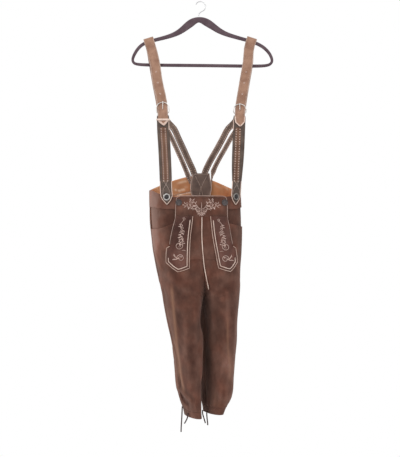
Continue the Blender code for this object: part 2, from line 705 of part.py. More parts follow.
def place(x, z, height, back=False):
    """A point over the front or back at a world x, its x in the garment, and the level way across there."""
    turn = math.radians(float(FRAME.at(z, "turn")))
    local = (x - float(FRAME.at(z, "x"))) / math.cos(turn)
    for _ in range(12):
        found = across([local], [z], [height], back)[0]
        local += (x - found[0]) / math.cos(turn)
    step = 0.004
    level = across([local + step], [z], [height], back)[0] - across([local - step], [z], [height], back)[0]
    return found, local, level / np.linalg.norm(level)


def braces(tan, dark, cream, steel):
    """Each side's top strap, buckle, buttoned front strap and back tails."""
    for side in SIDES:
        plan = BRACES[side]
        lean = math.radians(plan["lean"])
        along_arm = np.array([math.cos(lean), 0, math.sin(lean)])
        down = np.array([math.sin(lean), 0, -math.cos(lean)])
        arm = np.array([plan["arm"][0], 0, plan["arm"][1]])
        waist_y = plan["waist_y"]
        behind_yoke = -(WAISTBAND / 2 + 0.0012 + BACK_BRACE / 2)
        back_waist_y = place(*plan["back_end"][0], behind_yoke, True)[0][1] + 0.0035
        half = HANGER_DEPTH / 2 + GAP + BRACE_TOP / 2 + 0.0009

        level = np.array([1.0, 0, 0])
        buckle_x, buckle_top, buckle_foot = plan["buckle"]

        # The tan top strap: tongue, through the buckle, over the hanger's arm and down the back.
        route = []
        for (x, z), lift in zip(plan["tongue"][::-1], (0.0037, 0.0042, 0.0043)):
            route.append((x, front_y(z, waist_y) - lift, z))
        route += [(x, front_y(z, waist_y), z) for x, z in plan["top_front"][::-1]]
        for degrees in (-40, -10, 25, 60, 90, 120, 155, 190, 220):
            a = math.radians(degrees)
            height = ARM_DROP * math.sin(a) if math.sin(a) > 0 else 0.020 * math.sin(a)
            point = arm - down * (height + half * max(0, math.sin(a))) + np.array([0, -half * math.cos(a), 0])
            if math.sin(a) < 0:
                point[1] = math.copysign(half, point[1])
            route.append(tuple(point))
        route += [(x, back_y(z, back_waist_y), z) for x, z in plan["top_back"]]
        tip = [(0, 0.004), (0.004, 0.014), (0.010, 0.026), (0.016, BRACE_TOP_WIDTH)]
        ribbon(f"brace_top_{side}", route, tip + [(1, BRACE_TOP_WIDTH)], BRACE_TOP, [along_arm] * 2, tan)

        # The dark lower front strap, buttoned to the waistband.
        lift = WAISTBAND / 2 + 0.0006 + STRAP / 2
        foot, hints = [], []
        for x, z in plan["foot"]:
            point, _, way = place(x, z, lift)
            foot.append(tuple(point))
            hints.append(way)
        front = [(x, front_y(z, waist_y), z) for x, z in plan["front"]]
        route = foot[::-1] + front[::-1]
        point_end = [(0, 0.003), (0.0205, BRACE_WIDTH), (1, BRACE_WIDTH)]
        ribbon(
            f"brace_front_{side}",
            route,
            point_end,
            STRAP,
            [hints[-1], hints[0], level * 0.6 + hints[0] * 0.4, level, level],
            dark,
        )
        x, z = plan["button"]
        local = place(x, z, lift)[1]
        place_button(f"brace_button_{side}", local, z, 0.0108, lift + STRAP / 2 + 0.0002, steel)

        # The back strap is in two tails side by side, lapped over both faces of the tan strap's end. The inner
        # one runs into the yoke.
        for name, width, end in (("back", BACK_BRACE_WIDTH, []), ("outer", OUTER_BRACE_WIDTH, LOBE)):
            route = [(x, back_y(z, back_waist_y) - 0.0035, z) for x, z in plan[name]]
            lap = 0
            if name == "outer":
                top = [(x, back_y(z, back_waist_y) + off, z) for x, z, off in plan["outer_top"]]
                lap = sum(math.dist(a, b) for a, b in zip(top, top[1:] + route[:1]))
                route = top + route
            route += [tuple(place(x, z, behind_yoke, True)[0]) for x, z in plan[f"{name}_end"]]
            hints = [level, level, level, place(*plan[f"{name}_end"][0], behind_yoke, True)[2]]
            widths = [(0, width), (lap + 0.150, width)] + [(lap + far, wide) for far, wide in end]
            full = "brace_back" if name == "back" else "brace_back_outer"
            ribbon(f"{full}_{side}", route, widths, BACK_BRACE, hints, dark)
        make_buckle(side, plan, steel)

    make_keeper(BRACES["left"], cream)


def make_buckle(side, plan, steel):
    """A horseshoe frame of round wire with a straight bar at its foot, and its prong."""
    x, top, foot = plan["buckle"]
    waist_y = plan["waist_y"]
    wire = 0.0016
    half = 0.0197
    points = []
    shoulder = top - half
    for degrees in range(0, 181, 20):
        a = math.radians(degrees)
        points.append((x + half * math.cos(a), shoulder + (half - wire) * math.sin(a)))
    bar_z = foot + wire
    points += [(x - half, (shoulder + bar_z) / 2), (x - half + 0.0012, bar_z + 0.002)]
    points += [(x + s * half, bar_z - 0.0006) for s in (-0.8, -0.3, 0.3, 0.8)]
    points += [(x + half - 0.0012, bar_z + 0.002), (x + half, (shoulder + bar_z) / 2)]
    line = []
    for px, pz in points:
        share = float(smooth_step(pz, bar_z, shoulder))
        line.append((px, front_y(pz, waist_y) - 0.0034 * share, pz))
    bead(f"buckle_{side}", line, wire, steel, sides=8, closed=True)

    prong = 0.0012
    prong_line = []
    for share, lift in ((0.32, 0.0058), (0.45, 0.0052), (0.60, 0.0050), (0.78, 0.0062), (0.93, 0.0070), (1.05, 0.0069)):
        pz = bar_z + (top - bar_z) * share
        prong_line.append((x, front_y(pz, waist_y) - lift, pz))
    bead(f"buckle_prong_{side}", prong_line, prong, steel, sides=8)


def make_keeper(plan, cream):
    """The loop of pale leather that holds the left tongue down."""
    x, z = -0.1141, -0.3665
    y = front_y(z, plan["waist_y"])
    half_width = BRACE_WIDTH / 2 + 0.0022
    front_side, back_side = -0.0072, 0.0026
    height = 0.0060
    thick = 0.0010
    shape = [(-1, front_side), (-0.5, front_side), (0, front_side), (0.5, front_side), (1, front_side),
             (1, back_side), (0.5, back_side), (0, back_side), (-0.5, back_side), (-1, back_side)]
    outer, inner = [], []
    slope = (plan["waist_y"] + 0.0060) / (-0.600 + 0.125)
    for drop in (0.0, height):
        outer.append([(x + a * half_width, y + b - slope * drop, z - drop) for a, b in shape])
        middle = (front_side + back_side) / 2
        inner.append(
            [
                (x + a * (half_width - thick), y + b - math.copysign(thick, b - middle) - slope * drop, z - drop)
                for a, b in shape
            ]
        )
    wall("keeper_left", np.array(outer), np.array(inner), cream, ring=True)


def yoke(dark):
    """The shield that the back braces meet in, sewn inside the back of the waistband."""
    rows = [(-0.5270, 0.0270), (-0.5400, 0.0290), (-0.5580, 0.0330), (-0.5760, 0.0345), (-0.5940, 0.0310),
            (-0.6120, 0.0230), (-0.6280, 0.0120), (-0.6380, 0.0030)]
    height = -(WAISTBAND / 2 + 0.0012 + BACK_BRACE + 0.0016 + 0.0011)
    middle = 0.0190
    outer, inner = [], []
    for z, half in rows:
        x = middle + half * np.linspace(-1, 1, 7)
        outer.append(across(x, z, height + 0.0011, back=True))
        inner.append(across(x, z, height - 0.0011, back=True))
    wall("yoke_shield", np.array(outer), np.array(inner), dark)


def clothes_hanger(flock, chrome):
    """A thin flocked hanger with a bar, in one moulded piece, and its wire hook."""
    arms = [
        (-0.0060, -0.0520, 0.0150), (-0.0260, -0.0620, 0.0260), (-0.0440, -0.0760, 0.0230), (-0.0650, -0.0935, 0.0180),
        (-0.0945, -0.1065, 0.0130), (-0.1410, -0.1175, 0.0115), (-0.1720, -0.1262, 0.0112), (-0.1900, -0.1385, 0.0108),
        (-0.2040, -0.1590, 0.0100), (-0.2120, -0.1785, 0.0095), (-0.2080, -0.1895, 0.0095), (-0.1950, -0.1940, 0.0098),
        (-0.1500, -0.1955, 0.0105), (-0.0800, -0.1962, 0.0105), (0.0000, -0.1968, 0.0105), (0.0800, -0.1978, 0.0105),
        (0.1500, -0.1988, 0.0105), (0.2060, -0.1985, 0.0100), (0.2190, -0.1915, 0.0095), (0.2235, -0.1810, 0.0095),
        (0.2165, -0.1620, 0.0100), (0.1990, -0.1415, 0.0108), (0.1730, -0.1270, 0.0112), (0.1400, -0.1170, 0.0115),
        (0.0900, -0.1040, 0.0130), (0.0580, -0.0905, 0.0180), (0.0340, -0.0720, 0.0230), (0.0140, -0.0600, 0.0260),
    ]
    line = np.array([(x, z) for x, z, _ in arms])
    tangent = np.roll(line, -1, axis=0) - np.roll(line, 1, axis=0)
    tangent /= np.linalg.norm(tangent, axis=1)[:, None]
    normal = np.stack([-tangent[:, 1], tangent[:, 0]], axis=1)
    depth = HANGER_DEPTH / 2
    section = [(-0.5, -0.45), (-0.5, 0.45), (-0.30, 1.0), (0.30, 1.0), (0.5, 0.45), (0.5, -0.45), (0.30, -1.0),
               (-0.30, -1.0)]
    rings = []
    for (x, z), n, (_, _, height) in zip(line, normal, arms):
        rings.append([(x + n[0] * height * u, depth * w, z + n[1] * height * u) for u, w in section])
    points = [p for ring in rings for p in ring]
    count, sides = len(rings), len(section)
    faces = [
        (i * sides + j, i * sides + (j + 1) % sides, (i + 1) % count * sides + (j + 1) % sides,
         (i + 1) % count * sides + j)
        for i in range(count)
        for j in range(sides)
    ]
    solid("hanger", points, faces, flock)

    radius = HOOK_RADIUS
    centre_z = -(radius - HOOK_WIRE / 2)
    neck = (-0.0060, -0.0440)
    stem = [(neck[0], 0, neck[1] + 0.0004), (neck[0] + 0.0002, 0, -0.0395), (-0.0035, 0, -0.0345)]
    arc = [
        (radius * math.sin(math.radians(a)), 0, centre_z - radius * math.cos(math.radians(a)))
        for a in range(12, 256, 14)
    ]
    bead("hanger_hook", stem + arc, HOOK_WIRE / 2, chrome, sides=8)


# The free ends of the knee ties, hung by hand, each from the band that it comes out of.
LACES = {
    "lace_left_long": [
        (-0.0567, 0.0098, -1.2551), (-0.0571, 0.0087, -1.2654), (-0.0576, 0.0083, -1.2777),
        (-0.0582, 0.0084, -1.2908), (-0.0592, 0.0086, -1.3060), (-0.0600, 0.0088, -1.3201),
        (-0.0604, 0.0089, -1.3343),
    ],
    "lace_left_short": [
        (-0.0384, -0.0344, -1.2694), (-0.0394, -0.0352, -1.2786), (-0.0419, -0.0353, -1.2877),
        (-0.0459, -0.0349, -1.2958), (-0.0495, -0.0347, -1.3018),
    ],
    "lace_right_front": [
        (0.0068, 0.0448, -1.2712), (0.0064, 0.0443, -1.2806), (0.0088, 0.0442, -1.2908),
        (0.0123, 0.0443, -1.3021), (0.0154, 0.0444, -1.3123),
    ],
    "lace_right_back": [
        (0.0203, -0.0098, -1.2663), (0.0194, -0.0096, -1.2719), (0.0197, -0.0101, -1.2821),
        (0.0207, -0.0102, -1.2923), (0.0219, -0.0101, -1.3024), (0.0225, -0.0100, -1.3105),
    ],
}


def laces(leather):
    """The four hanging ends of the knee ties, each one curve."""
    for name, route in LACES.items():
        line, _ = smooth_route(route, 0.010)
        curve = bpy.data.curves.new(name, "CURVE")
        curve.dimensions = "3D"
        curve.bevel_depth = LACE / 2
        curve.bevel_resolution = 2
        curve.use_fill_caps = True
        spline = curve.splines.new("POLY")
        spline.points.add(len(line) - 1)
        for point, position in zip(spline.points, line):
            point.co = (*position, 1)
        curve.materials.append(leather)
        bpy.context.collection.objects.link(bpy.data.objects.new(name, curve))


clear_scene()
suede = material("brown suede", (0.137, 0.070, 0.052), 0.95)
facing = material("dark suede facing", (0.090, 0.047, 0.035), 0.95)
tan_leather = material("tan leather", (0.352, 0.190, 0.125), 0.6)
dark_leather = material("dark strap leather", (0.107, 0.077, 0.060), 0.7)
cream_leather = material("cream piping leather", (0.708, 0.527, 0.456), 0.7)
silver = material("pale silver", (0.80, 0.77, 0.74), 0.3, 1.0)
horn = material("dark horn", (0.060, 0.055, 0.055), 0.4)
flock = material("mauve flock", (0.147, 0.102, 0.117), 1.0)
chrome = material("bright wire", (0.75, 0.75, 0.76), 0.2, 1.0)

legs_and_waist(suede, facing)
drop_front(suede, cream_leather, horn)
braces(tan_leather, dark_leather, cream_leather, silver)
yoke(dark_leather)
clothes_hanger(flock, chrome)
laces(dark_leather)
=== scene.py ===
import math

import bpy
import numpy as np
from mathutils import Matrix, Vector
from mathutils.bvhtree import BVHTree


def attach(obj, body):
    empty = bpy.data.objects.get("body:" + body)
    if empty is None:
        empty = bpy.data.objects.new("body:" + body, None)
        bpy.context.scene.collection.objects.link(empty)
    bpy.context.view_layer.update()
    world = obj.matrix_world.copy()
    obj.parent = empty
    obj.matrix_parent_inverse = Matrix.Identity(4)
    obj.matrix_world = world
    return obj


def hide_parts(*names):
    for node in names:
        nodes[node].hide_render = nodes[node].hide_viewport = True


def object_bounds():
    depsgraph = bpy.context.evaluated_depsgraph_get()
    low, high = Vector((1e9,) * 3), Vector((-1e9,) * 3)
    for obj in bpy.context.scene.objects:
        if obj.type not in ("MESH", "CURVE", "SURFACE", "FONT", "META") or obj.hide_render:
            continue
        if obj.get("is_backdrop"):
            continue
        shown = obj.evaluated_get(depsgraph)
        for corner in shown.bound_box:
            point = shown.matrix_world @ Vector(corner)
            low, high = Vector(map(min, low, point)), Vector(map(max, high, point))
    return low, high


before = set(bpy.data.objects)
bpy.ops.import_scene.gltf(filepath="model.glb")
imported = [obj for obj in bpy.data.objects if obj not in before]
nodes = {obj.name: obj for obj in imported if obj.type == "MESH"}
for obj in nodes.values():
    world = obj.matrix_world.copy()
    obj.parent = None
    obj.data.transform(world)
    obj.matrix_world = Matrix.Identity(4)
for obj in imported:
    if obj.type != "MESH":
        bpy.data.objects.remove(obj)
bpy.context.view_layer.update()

scene = bpy.context.scene


# ---------------------------------------------------------------- the room
# The garment hangs in an even white room, lit softly from the front left and from above.
# The camera stands four metres off, level with the hips.
LENS_MM = 101.6
CAMERA_AT = (-0.00155, -4.0, -0.7022)
# Each lamp is a square panel: its name, power in watts, size, place, and the point it faces, in metres.
LAMPS = [
    ("window", 26.0, 1.6, (-1.9, -2.3, 0.5), (0.0, 0.0, -0.75)),
    ("ceiling", 11.0, 1.8, (0.7, -0.9, 1.5), (0.0, 0.0, -0.7)),
]
FLOOR_RADIUS = 1.1
FLOOR_AT = (0, 0, -1.62)

eye = bpy.data.cameras.new("eye")
eye.sensor_fit = "AUTO"
eye.lens = LENS_MM
camera = bpy.data.objects.new("eye", eye)
camera.location = CAMERA_AT
camera.rotation_euler = (math.radians(90), 0, 0)
scene.collection.objects.link(camera)
scene.camera = camera
scene.view_settings.view_transform = "Standard"

# The room's own light is white behind the garment and a little dimmer behind the camera.
room = bpy.data.worlds.new("white room")
scene.world = room
room.use_nodes = True
air = room.node_tree
air.nodes.clear()
place_in_room = air.nodes.new("ShaderNodeTexCoord")
across_room = air.nodes.new("ShaderNodeSeparateXYZ")
fall_off = air.nodes.new("ShaderNodeMapRange")
for socket, value in (("From Min", -0.9), ("From Max", 0.35), ("To Min", 0.72), ("To Max", 1.0)):
    fall_off.inputs[socket].default_value = value
glow = air.nodes.new("ShaderNodeBackground")
room_out = air.nodes.new("ShaderNodeOutputWorld")
air.links.new(place_in_room.outputs["Generated"], across_room.inputs[0])
air.links.new(across_room.outputs["Y"], fall_off.inputs["Value"])
air.links.new(fall_off.outputs["Result"], glow.inputs["Color"])
air.links.new(glow.outputs[0], room_out.inputs[0])
for name, energy, size, position, aim in LAMPS:
    panel = bpy.data.lights.new(name, "AREA")
    panel.energy = energy
    panel.size = size
    lamp = bpy.data.objects.new(name, panel)
    lamp.location = position
    lamp.rotation_euler = (Vector(aim) - Vector(position)).to_track_quat("-Z", "Y").to_euler()
    scene.collection.objects.link(lamp)

bpy.ops.mesh.primitive_circle_add(vertices=96, radius=FLOOR_RADIUS, fill_type="NGON", location=FLOOR_AT)
floor = bpy.context.object
floor.name = "floor"
pale = bpy.data.materials.new("pale floor")
pale.use_nodes = True
pale.node_tree.nodes["Principled BSDF"].inputs["Base Color"].default_value = (0.86, 0.86, 0.85, 1)
pale.node_tree.nodes["Principled BSDF"].inputs["Roughness"].default_value = 0.8
floor.data.materials.append(pale)
floor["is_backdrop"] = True


# ---------------------------------------------------------------- what every material is made from
# A colour mixer's sockets: its share, its two colours, and what comes out.
SHARE, FIRST, SECOND, MIXED = 0, 6, 7, 2


def start_material(name):
    """A new material, with its node tree, its main shader and its texture coordinates."""
    made = bpy.data.materials.new(name)
    made.use_nodes = True
    tree = made.node_tree
    return made, tree, tree.nodes["Principled BSDF"], tree.nodes.new("ShaderNodeTexCoord")


def noise_in(tree, scale, detail=2.0):
    """Cloudy noise: a larger scale gives smaller clouds."""
    made = tree.nodes.new("ShaderNodeTexNoise")
    made.inputs["Scale"].default_value = scale
    made.inputs["Detail"].default_value = detail
    return made


def ramp_in(tree, first, last, *between):
    """A run of colours. Each stop is a place from 0 to 1 and a colour."""
    made = tree.nodes.new("ShaderNodeValToRGB")
    stops = made.color_ramp.elements
    for i, (place, colour) in enumerate((first, last)):
        stops[i].position = place
        stops[i].color = (*colour, 1)
    for place, colour in between:
        stops.new(place).color = (*colour, 1)
    return made


def spread_in(tree, into=(0.0, 1.0), within=(0.0, 1.0)):
    """Stretches the values within one range into another."""
    made = tree.nodes.new("ShaderNodeMapRange")
    made.inputs["From Min"].default_value, made.inputs["From Max"].default_value = within
    made.inputs["To Min"].default_value, made.inputs["To Max"].default_value = into
    return made


def mix_in(tree, second, blend="MIX"):
    """A colour mixer with its second colour set."""
    made = tree.nodes.new("ShaderNodeMix")
    made.data_type = "RGBA"
    made.blend_type = blend
    made.inputs[SECOND].default_value = (*second, 1)
    return made


def bump_in(tree, strength, distance):
    """A bump of a given strength and depth in metres."""
    made = tree.nodes.new("ShaderNodeBump")
    made.inputs["Strength"].default_value = strength
    made.inputs["Distance"].default_value = distance
    return made


def lay_on_object(tree, at, *textures):
    """Ties textures to the piece's own coordinates."""
    for texture in textures:
        tree.links.new(at.outputs["Object"], texture.inputs["Vector"])


def leather(name, colour, deep, roughness=0.62, grain=700.0, relief=0.16):
    """Smooth leather: two close colours in uneven clouds, a fine pebbled grain and worn, lighter specks."""
    made, tree, skin, at = start_material(name)
    clouds = noise_in(tree, 46.0, 6.0)
    mixing = ramp_in(tree, (0.34, deep), (0.66, colour))
    pebbles = tree.nodes.new("ShaderNodeTexVoronoi")
    pebbles.inputs["Scale"].default_value = grain
    creasing = noise_in(tree, 190.0, 4.0)
    both = tree.nodes.new("ShaderNodeMath")
    both.operation = "ADD"
    bumps = bump_in(tree, relief, 0.0006)
    dulling = spread_in(tree, (roughness - 0.1, roughness + 0.12))
    lay_on_object(tree, at, clouds, pebbles, creasing)
    tree.links.new(clouds.outputs["Fac"], mixing.inputs[0])
    tree.links.new(mixing.outputs[0], skin.inputs["Base Color"])
    tree.links.new(pebbles.outputs["Distance"], both.inputs[0])
    tree.links.new(creasing.outputs["Fac"], both.inputs[1])
    tree.links.new(both.outputs[0], bumps.inputs["Height"])
    tree.links.new(bumps.outputs[0], skin.inputs["Normal"])
    tree.links.new(creasing.outputs["Fac"], dulling.inputs["Value"])
    tree.links.new(dulling.outputs["Result"], skin.inputs["Roughness"])
    skin.inputs["Specular IOR Level"].default_value = 0.35
    return made


# ---------------------------------------------------------------- knee ties
# The free ends of the two knee ties: thongs cut from dark smooth leather about 4 mm across. Each starts
# against its knee band, or the leg just above it, hangs under its own weight and ends in a bare cut.
tie_leather = leather("tie leather", (0.080, 0.048, 0.041), (0.042, 0.025, 0.022), 0.7)
TIES = {
    "lace_left_long": [
        (-0.0567, 0.0098, -1.2551), (-0.0571, 0.0087, -1.2654), (-0.0576, 0.0083, -1.2777),
        (-0.0582, 0.0084, -1.2908), (-0.0592, 0.0086, -1.3060), (-0.0600, 0.0088, -1.3201),
        (-0.0604, 0.0089, -1.3343),
    ],
    "lace_left_short": [
        (-0.0384, -0.0344, -1.2694), (-0.0394, -0.0352, -1.2786), (-0.0419, -0.0353, -1.2877),
        (-0.0459, -0.0349, -1.2958), (-0.0495, -0.0347, -1.3018),
    ],
    "lace_right_front": [
        (0.0068, 0.0448, -1.2712), (0.0064, 0.0443, -1.2806), (0.0088, 0.0442, -1.2908),
        (0.0123, 0.0443, -1.3021), (0.0154, 0.0444, -1.3123),
    ],
    "lace_right_back": [
        (0.0203, -0.0098, -1.2663), (0.0194, -0.0096, -1.2719), (0.0197, -0.0101, -1.2821),
        (0.0207, -0.0102, -1.2923), (0.0219, -0.0101, -1.3024), (0.0225, -0.0100, -1.3105),
    ],
}
for node, route in TIES.items():
    line = bpy.data.curves.new("tie_" + node[5:], "CURVE")
    line.dimensions = "3D"
    line.bevel_depth = 0.002
    line.bevel_resolution = 4
    line.resolution_u = 8
    line.use_fill_caps = True
    spline = line.splines.new("BEZIER")
    spline.bezier_points.add(len(route) - 1)
    for knot, point in zip(spline.bezier_points, route):
        knot.co = point
        knot.handle_left_type = knot.handle_right_type = "AUTO"
    line.materials.append(tie_leather)
    tie = bpy.data.objects.new("tie_" + node[5:], line)
    scene.collection.objects.link(tie)
    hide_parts(node)
    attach(tie, "root")


# ---------------------------------------------------------------- the legs
# Two fronts and two backs of brown suede, sewn flesh side out, about 1.9 mm thick. The seams run down the
# outsides, the insides of the legs and the middle of the seat; the knees are gathered into bands.
def pick(made):
    """Makes a piece the active one, and the only one selected."""
    bpy.ops.object.select_all(action="DESELECT")
    made.select_set(True)
    bpy.context.view_layer.objects.active = made


def face_outwards(made):
    """Turns every face of a closed piece to look outwards."""
    pick(made)
    bpy.ops.object.mode_set(mode="EDIT")
    bpy.ops.mesh.select_all(action="SELECT")
    bpy.ops.mesh.normals_make_consistent(inside=False)
    bpy.ops.object.mode_set(mode="OBJECT")


def piece_from(node, name, levels, cut_edge=55):
    """A solid's own mesh, its triangles merged and paired, its cut edges kept crisp, then subdivided."""
    made = bpy.data.objects.new(name, nodes[node].data.copy())
    scene.collection.objects.link(made)
    made.data.materials.clear()
    pick(made)
    bpy.ops.object.mode_set(mode="EDIT")
    bpy.ops.mesh.select_all(action="SELECT")
    bpy.ops.mesh.remove_doubles(threshold=1e-5)
    bpy.ops.mesh.tris_convert_to_quads(face_threshold=math.radians(50), shape_threshold=math.radians(60))
    bpy.ops.mesh.select_all(action="DESELECT")
    if cut_edge:
        bpy.ops.mesh.edges_select_sharp(sharpness=math.radians(cut_edge))
        bpy.ops.transform.edge_crease(value=0.9)
    bpy.ops.object.mode_set(mode="OBJECT")
    if levels:
        rounding = made.modifiers.new("rounding", "SUBSURF")
        rounding.levels = rounding.render_levels = levels
        bpy.ops.object.modifier_apply(modifier=rounding.name)
    bpy.ops.object.shade_smooth_by_angle(angle=math.radians(50))
    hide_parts(node)
    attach(made, "root")
    return made


def spots(made):
    """The vertices of a piece as rows of x, y and z."""
    found = np.empty(len(made.data.vertices) * 3)
    made.data.vertices.foreach_get("co", found)
    return found.reshape(-1, 3)


def surface_of(*pieces):
    """The skins of some pieces in one search tree, for laying stitches and cords on them."""
    points, faces = [], []
    for made in pieces:
        start = len(points)
        points += [v.co.copy() for v in made.data.vertices]
        faces += [[start + i for i in f.vertices] for f in made.data.polygons]
    return BVHTree.FromPolygons(points, faces)


def smooth(x, low, high):
    """An even rise from 0 at low to 1 at high, with soft ends; it falls instead when high is below low."""
    t = np.clip((x - low) / (high - low), 0, 1)
    return t * t * (3 - 2 * t)


# Middles of the legs and of the hips at a row of heights: z, then left x and y, then right x and y.
MIDDLES = np.array([
    (-1.30, -0.028, -0.006, 0.042, 0.020),
    (-1.24, -0.034, -0.008, 0.052, 0.020),
    (-1.15, -0.042, -0.010, 0.060, 0.018),
    (-1.05, -0.050, -0.014, 0.064, 0.016),
    (-0.95, -0.060, -0.012, 0.064, 0.014),
    (-0.88, -0.050, -0.005, 0.050, 0.010),
    (-0.80, -0.014, 0.004, -0.010, 0.004),
    (-0.50, -0.016, 0.000, -0.016, 0.000),
])


def outward(points, right):
    """The level direction from the middle of a leg, or of the hips, to each point."""
    columns = (3, 4) if right else (1, 2)
    x, y = (np.interp(points[:, 2], MIDDLES[:, 0], MIDDLES[:, c]) for c in columns)
    away = np.stack([points[:, 0] - x, points[:, 1] - y, np.zeros(len(points))], axis=1)
    return away / np.maximum(np.linalg.norm(away, axis=1), 1e-6)[:, None]


# Folds in the suede. Each is a ridge with a softer trough beside it: the way it faces, its height in
# millimetres (below 0 for a furrow), its half width in millimetres, and its line in metres, across and up.
FOLDS = [
    ("front", 2.6, 9, [(-0.128, -0.905), (-0.116, -0.985), (-0.102, -1.060), (-0.090, -1.120)]),
    ("front", 1.9, 7, [(-0.090, -1.120), (-0.076, -1.180), (-0.062, -1.215)]),
    ("front", 3.6, 6, [(-0.084, -1.150), (-0.066, -1.192), (-0.046, -1.216), (-0.034, -1.222)]),
    ("front", -4.6, 6, [(-0.076, -1.200), (-0.058, -1.218), (-0.040, -1.236)]),
    ("front", 2.4, 5, [(-0.064, -1.232), (-0.046, -1.248)]),
    ("front", 2.0, 11, [(-0.040, -0.920), (-0.044, -1.010), (-0.040, -1.100), (-0.032, -1.180)]),
    ("front", -1.8, 10, [(-0.066, -0.960), (-0.066, -1.050), (-0.058, -1.130)]),
    ("front", 1.6, 8, [(-0.012, -0.960), (-0.016, -1.060), (-0.014, -1.150), (-0.018, -1.210)]),
    ("front", 1.8, 9, [(0.034, -0.905), (0.032, -0.990), (0.034, -1.060), (0.042, -1.130)]),
    ("front", -2.0, 9, [(0.058, -0.930), (0.060, -1.020), (0.064, -1.100)]),
    ("front", 2.2, 8, [(0.082, -0.900), (0.084, -0.990), (0.088, -1.080), (0.086, -1.160)]),
    ("front", 1.8, 7, [(0.050, -1.120), (0.056, -1.180), (0.060, -1.228)]),
    ("front", -1.8, 7, [(0.072, -1.150), (0.072, -1.200), (0.066, -1.236)]),
    ("front", 1.6, 8, [(0.104, -0.960), (0.101, -1.080), (0.094, -1.170)]),
    ("front", 1.6, 10, [(-0.098, -0.842), (-0.070, -0.872), (-0.030, -0.900)]),
    ("front", -1.6, 9, [(-0.104, -0.862), (-0.070, -0.892), (-0.036, -0.925)]),
    ("front", 1.5, 9, [(0.098, -0.850), (0.062, -0.876), (0.028, -0.905)]),
    ("front", 1.4, 9, [(-0.140, -0.720), (-0.136, -0.790), (-0.126, -0.850)]),
    ("front", -1.2, 9, [(-0.118, -0.715), (-0.112, -0.780), (-0.112, -0.830)]),
    ("front", 1.3, 8, [(0.112, -0.712), (0.108, -0.780), (0.114, -0.850)]),
    ("front", 1.2, 7, [(-0.150, -0.640), (-0.132, -0.662), (-0.108, -0.668)]),
    ("front", 1.2, 8, [(0.012, -0.700), (0.014, -0.770), (0.022, -0.840)]),
    ("front", -1.0, 9, [(-0.020, -0.690), (-0.020, -0.770), (-0.030, -0.850)]),
    ("back", 2.6, 12, [(-0.115, -0.830), (-0.080, -0.870), (-0.040, -0.895)]),
    ("back", 2.8, 11, [(-0.108, -0.880), (-0.078, -0.915), (-0.045, -0.925)]),
    ("back", -2.2, 10, [(-0.110, -0.856), (-0.080, -0.892), (-0.046, -0.910)]),
    ("back", 2.6, 12, [(0.100, -0.825), (0.070, -0.868), (0.036, -0.890)]),
    ("back", 2.6, 11, [(0.104, -0.890), (0.078, -0.918), (0.048, -0.930)]),
    ("back", 1.8, 12, [(-0.080, -0.600), (-0.084, -0.700), (-0.090, -0.800)]),
    ("back", 1.8, 12, [(0.066, -0.600), (0.070, -0.700), (0.078, -0.790)]),
    ("back", -1.6, 10, [(-0.046, -0.620), (-0.050, -0.700), (-0.052, -0.790)]),
    ("back", 2.4, 10, [(-0.066, -0.940), (-0.064, -1.040), (-0.056, -1.130), (-0.044, -1.210)]),
    ("back", -2.0, 10, [(-0.042, -0.960), (-0.040, -1.060), (-0.034, -1.150)]),
    ("back", 2.6, 10, [(0.070, -0.950), (0.074, -1.040), (0.070, -1.130), (0.060, -1.200)]),
    ("back", -2.0, 9, [(0.046, -0.970), (0.048, -1.070), (0.044, -1.160)]),
    ("back", 2.6, 9, [(-0.074, -1.085), (-0.050, -1.105), (-0.022, -1.098)]),
    ("back", 2.4, 9, [(-0.066, -1.125), (-0.042, -1.140), (-0.016, -1.128)]),
    ("back", 2.4, 9, [(0.088, -1.080), (0.060, -1.102), (0.030, -1.094)]),
    ("back", 2.2, 9, [(0.084, -1.126), (0.056, -1.142), (0.026, -1.130)]),
    ("left", 2.2, 10, [(-0.030, -0.860), (-0.022, -0.960), (-0.020, -1.060), (-0.014, -1.150)]),
    ("left", -2.2, 9, [(0.012, -0.880), (0.010, -0.980), (0.006, -1.080)]),
    ("left", 2.4, 9, [(0.040, -0.930), (0.036, -1.030), (0.030, -1.130), (0.022, -1.200)]),
    ("left", -2.6, 7, [(-0.034, -1.150), (-0.026, -1.200), (-0.018, -1.236)]),
    ("left", 1.8, 10, [(0.050, -0.660), (0.056, -0.740), (0.048, -0.820)]),
    ("right", 2.2, 10, [(0.000, -0.860), (0.006, -0.960), (0.010, -1.060), (0.014, -1.160)]),
    ("right", -2.0, 9, [(0.040, -0.900), (0.042, -1.000), (0.040, -1.100)]),
    ("right", 2.2, 9, [(0.066, -0.930), (0.066, -1.030), (0.060, -1.130), (0.050, -1.190)]),
    ("right", 1.8, 10, [(0.050, -0.660), (0.058, -0.740), (0.060, -0.820)]),
]
FACING = {"front": (0, -1), "back": (0, 1), "left": (-1, 0), "right": (1, 0)}


def closeness(points, right, facing, half, line, taper=0.0):
    """How near each point is to a line: 1 on it, fading across it, over its ends and round the side."""
    away = outward(points, right)
    way = FACING[facing]
    across = points[:, 0] if way[0] == 0 else points[:, 1]
    at = np.stack([across, points[:, 2]], axis=1)
    nearest, reached, gone = np.full(len(points), 9.0), np.zeros(len(points)), 0.0
    for a, b in zip(np.array(line[:-1]), np.array(line[1:])):
        run = b - a
        length = np.linalg.norm(run)
        t = np.clip(((at - a) @ run) / length**2, 0, 1)
        distance = np.linalg.norm(at - a - t[:, None] * run, axis=1)
        reached = np.where(distance < nearest, gone + t * length, reached)
        nearest = np.minimum(nearest, distance)
        gone += length
    fade = smooth(reached, 0, taper) * smooth(gone - reached, 0, taper) if taper else 1.0
    return smooth(away @ np.array((*way, 0)), 0.0, 0.4) * fade * np.exp(-((nearest / (half * 0.001)) ** 2))


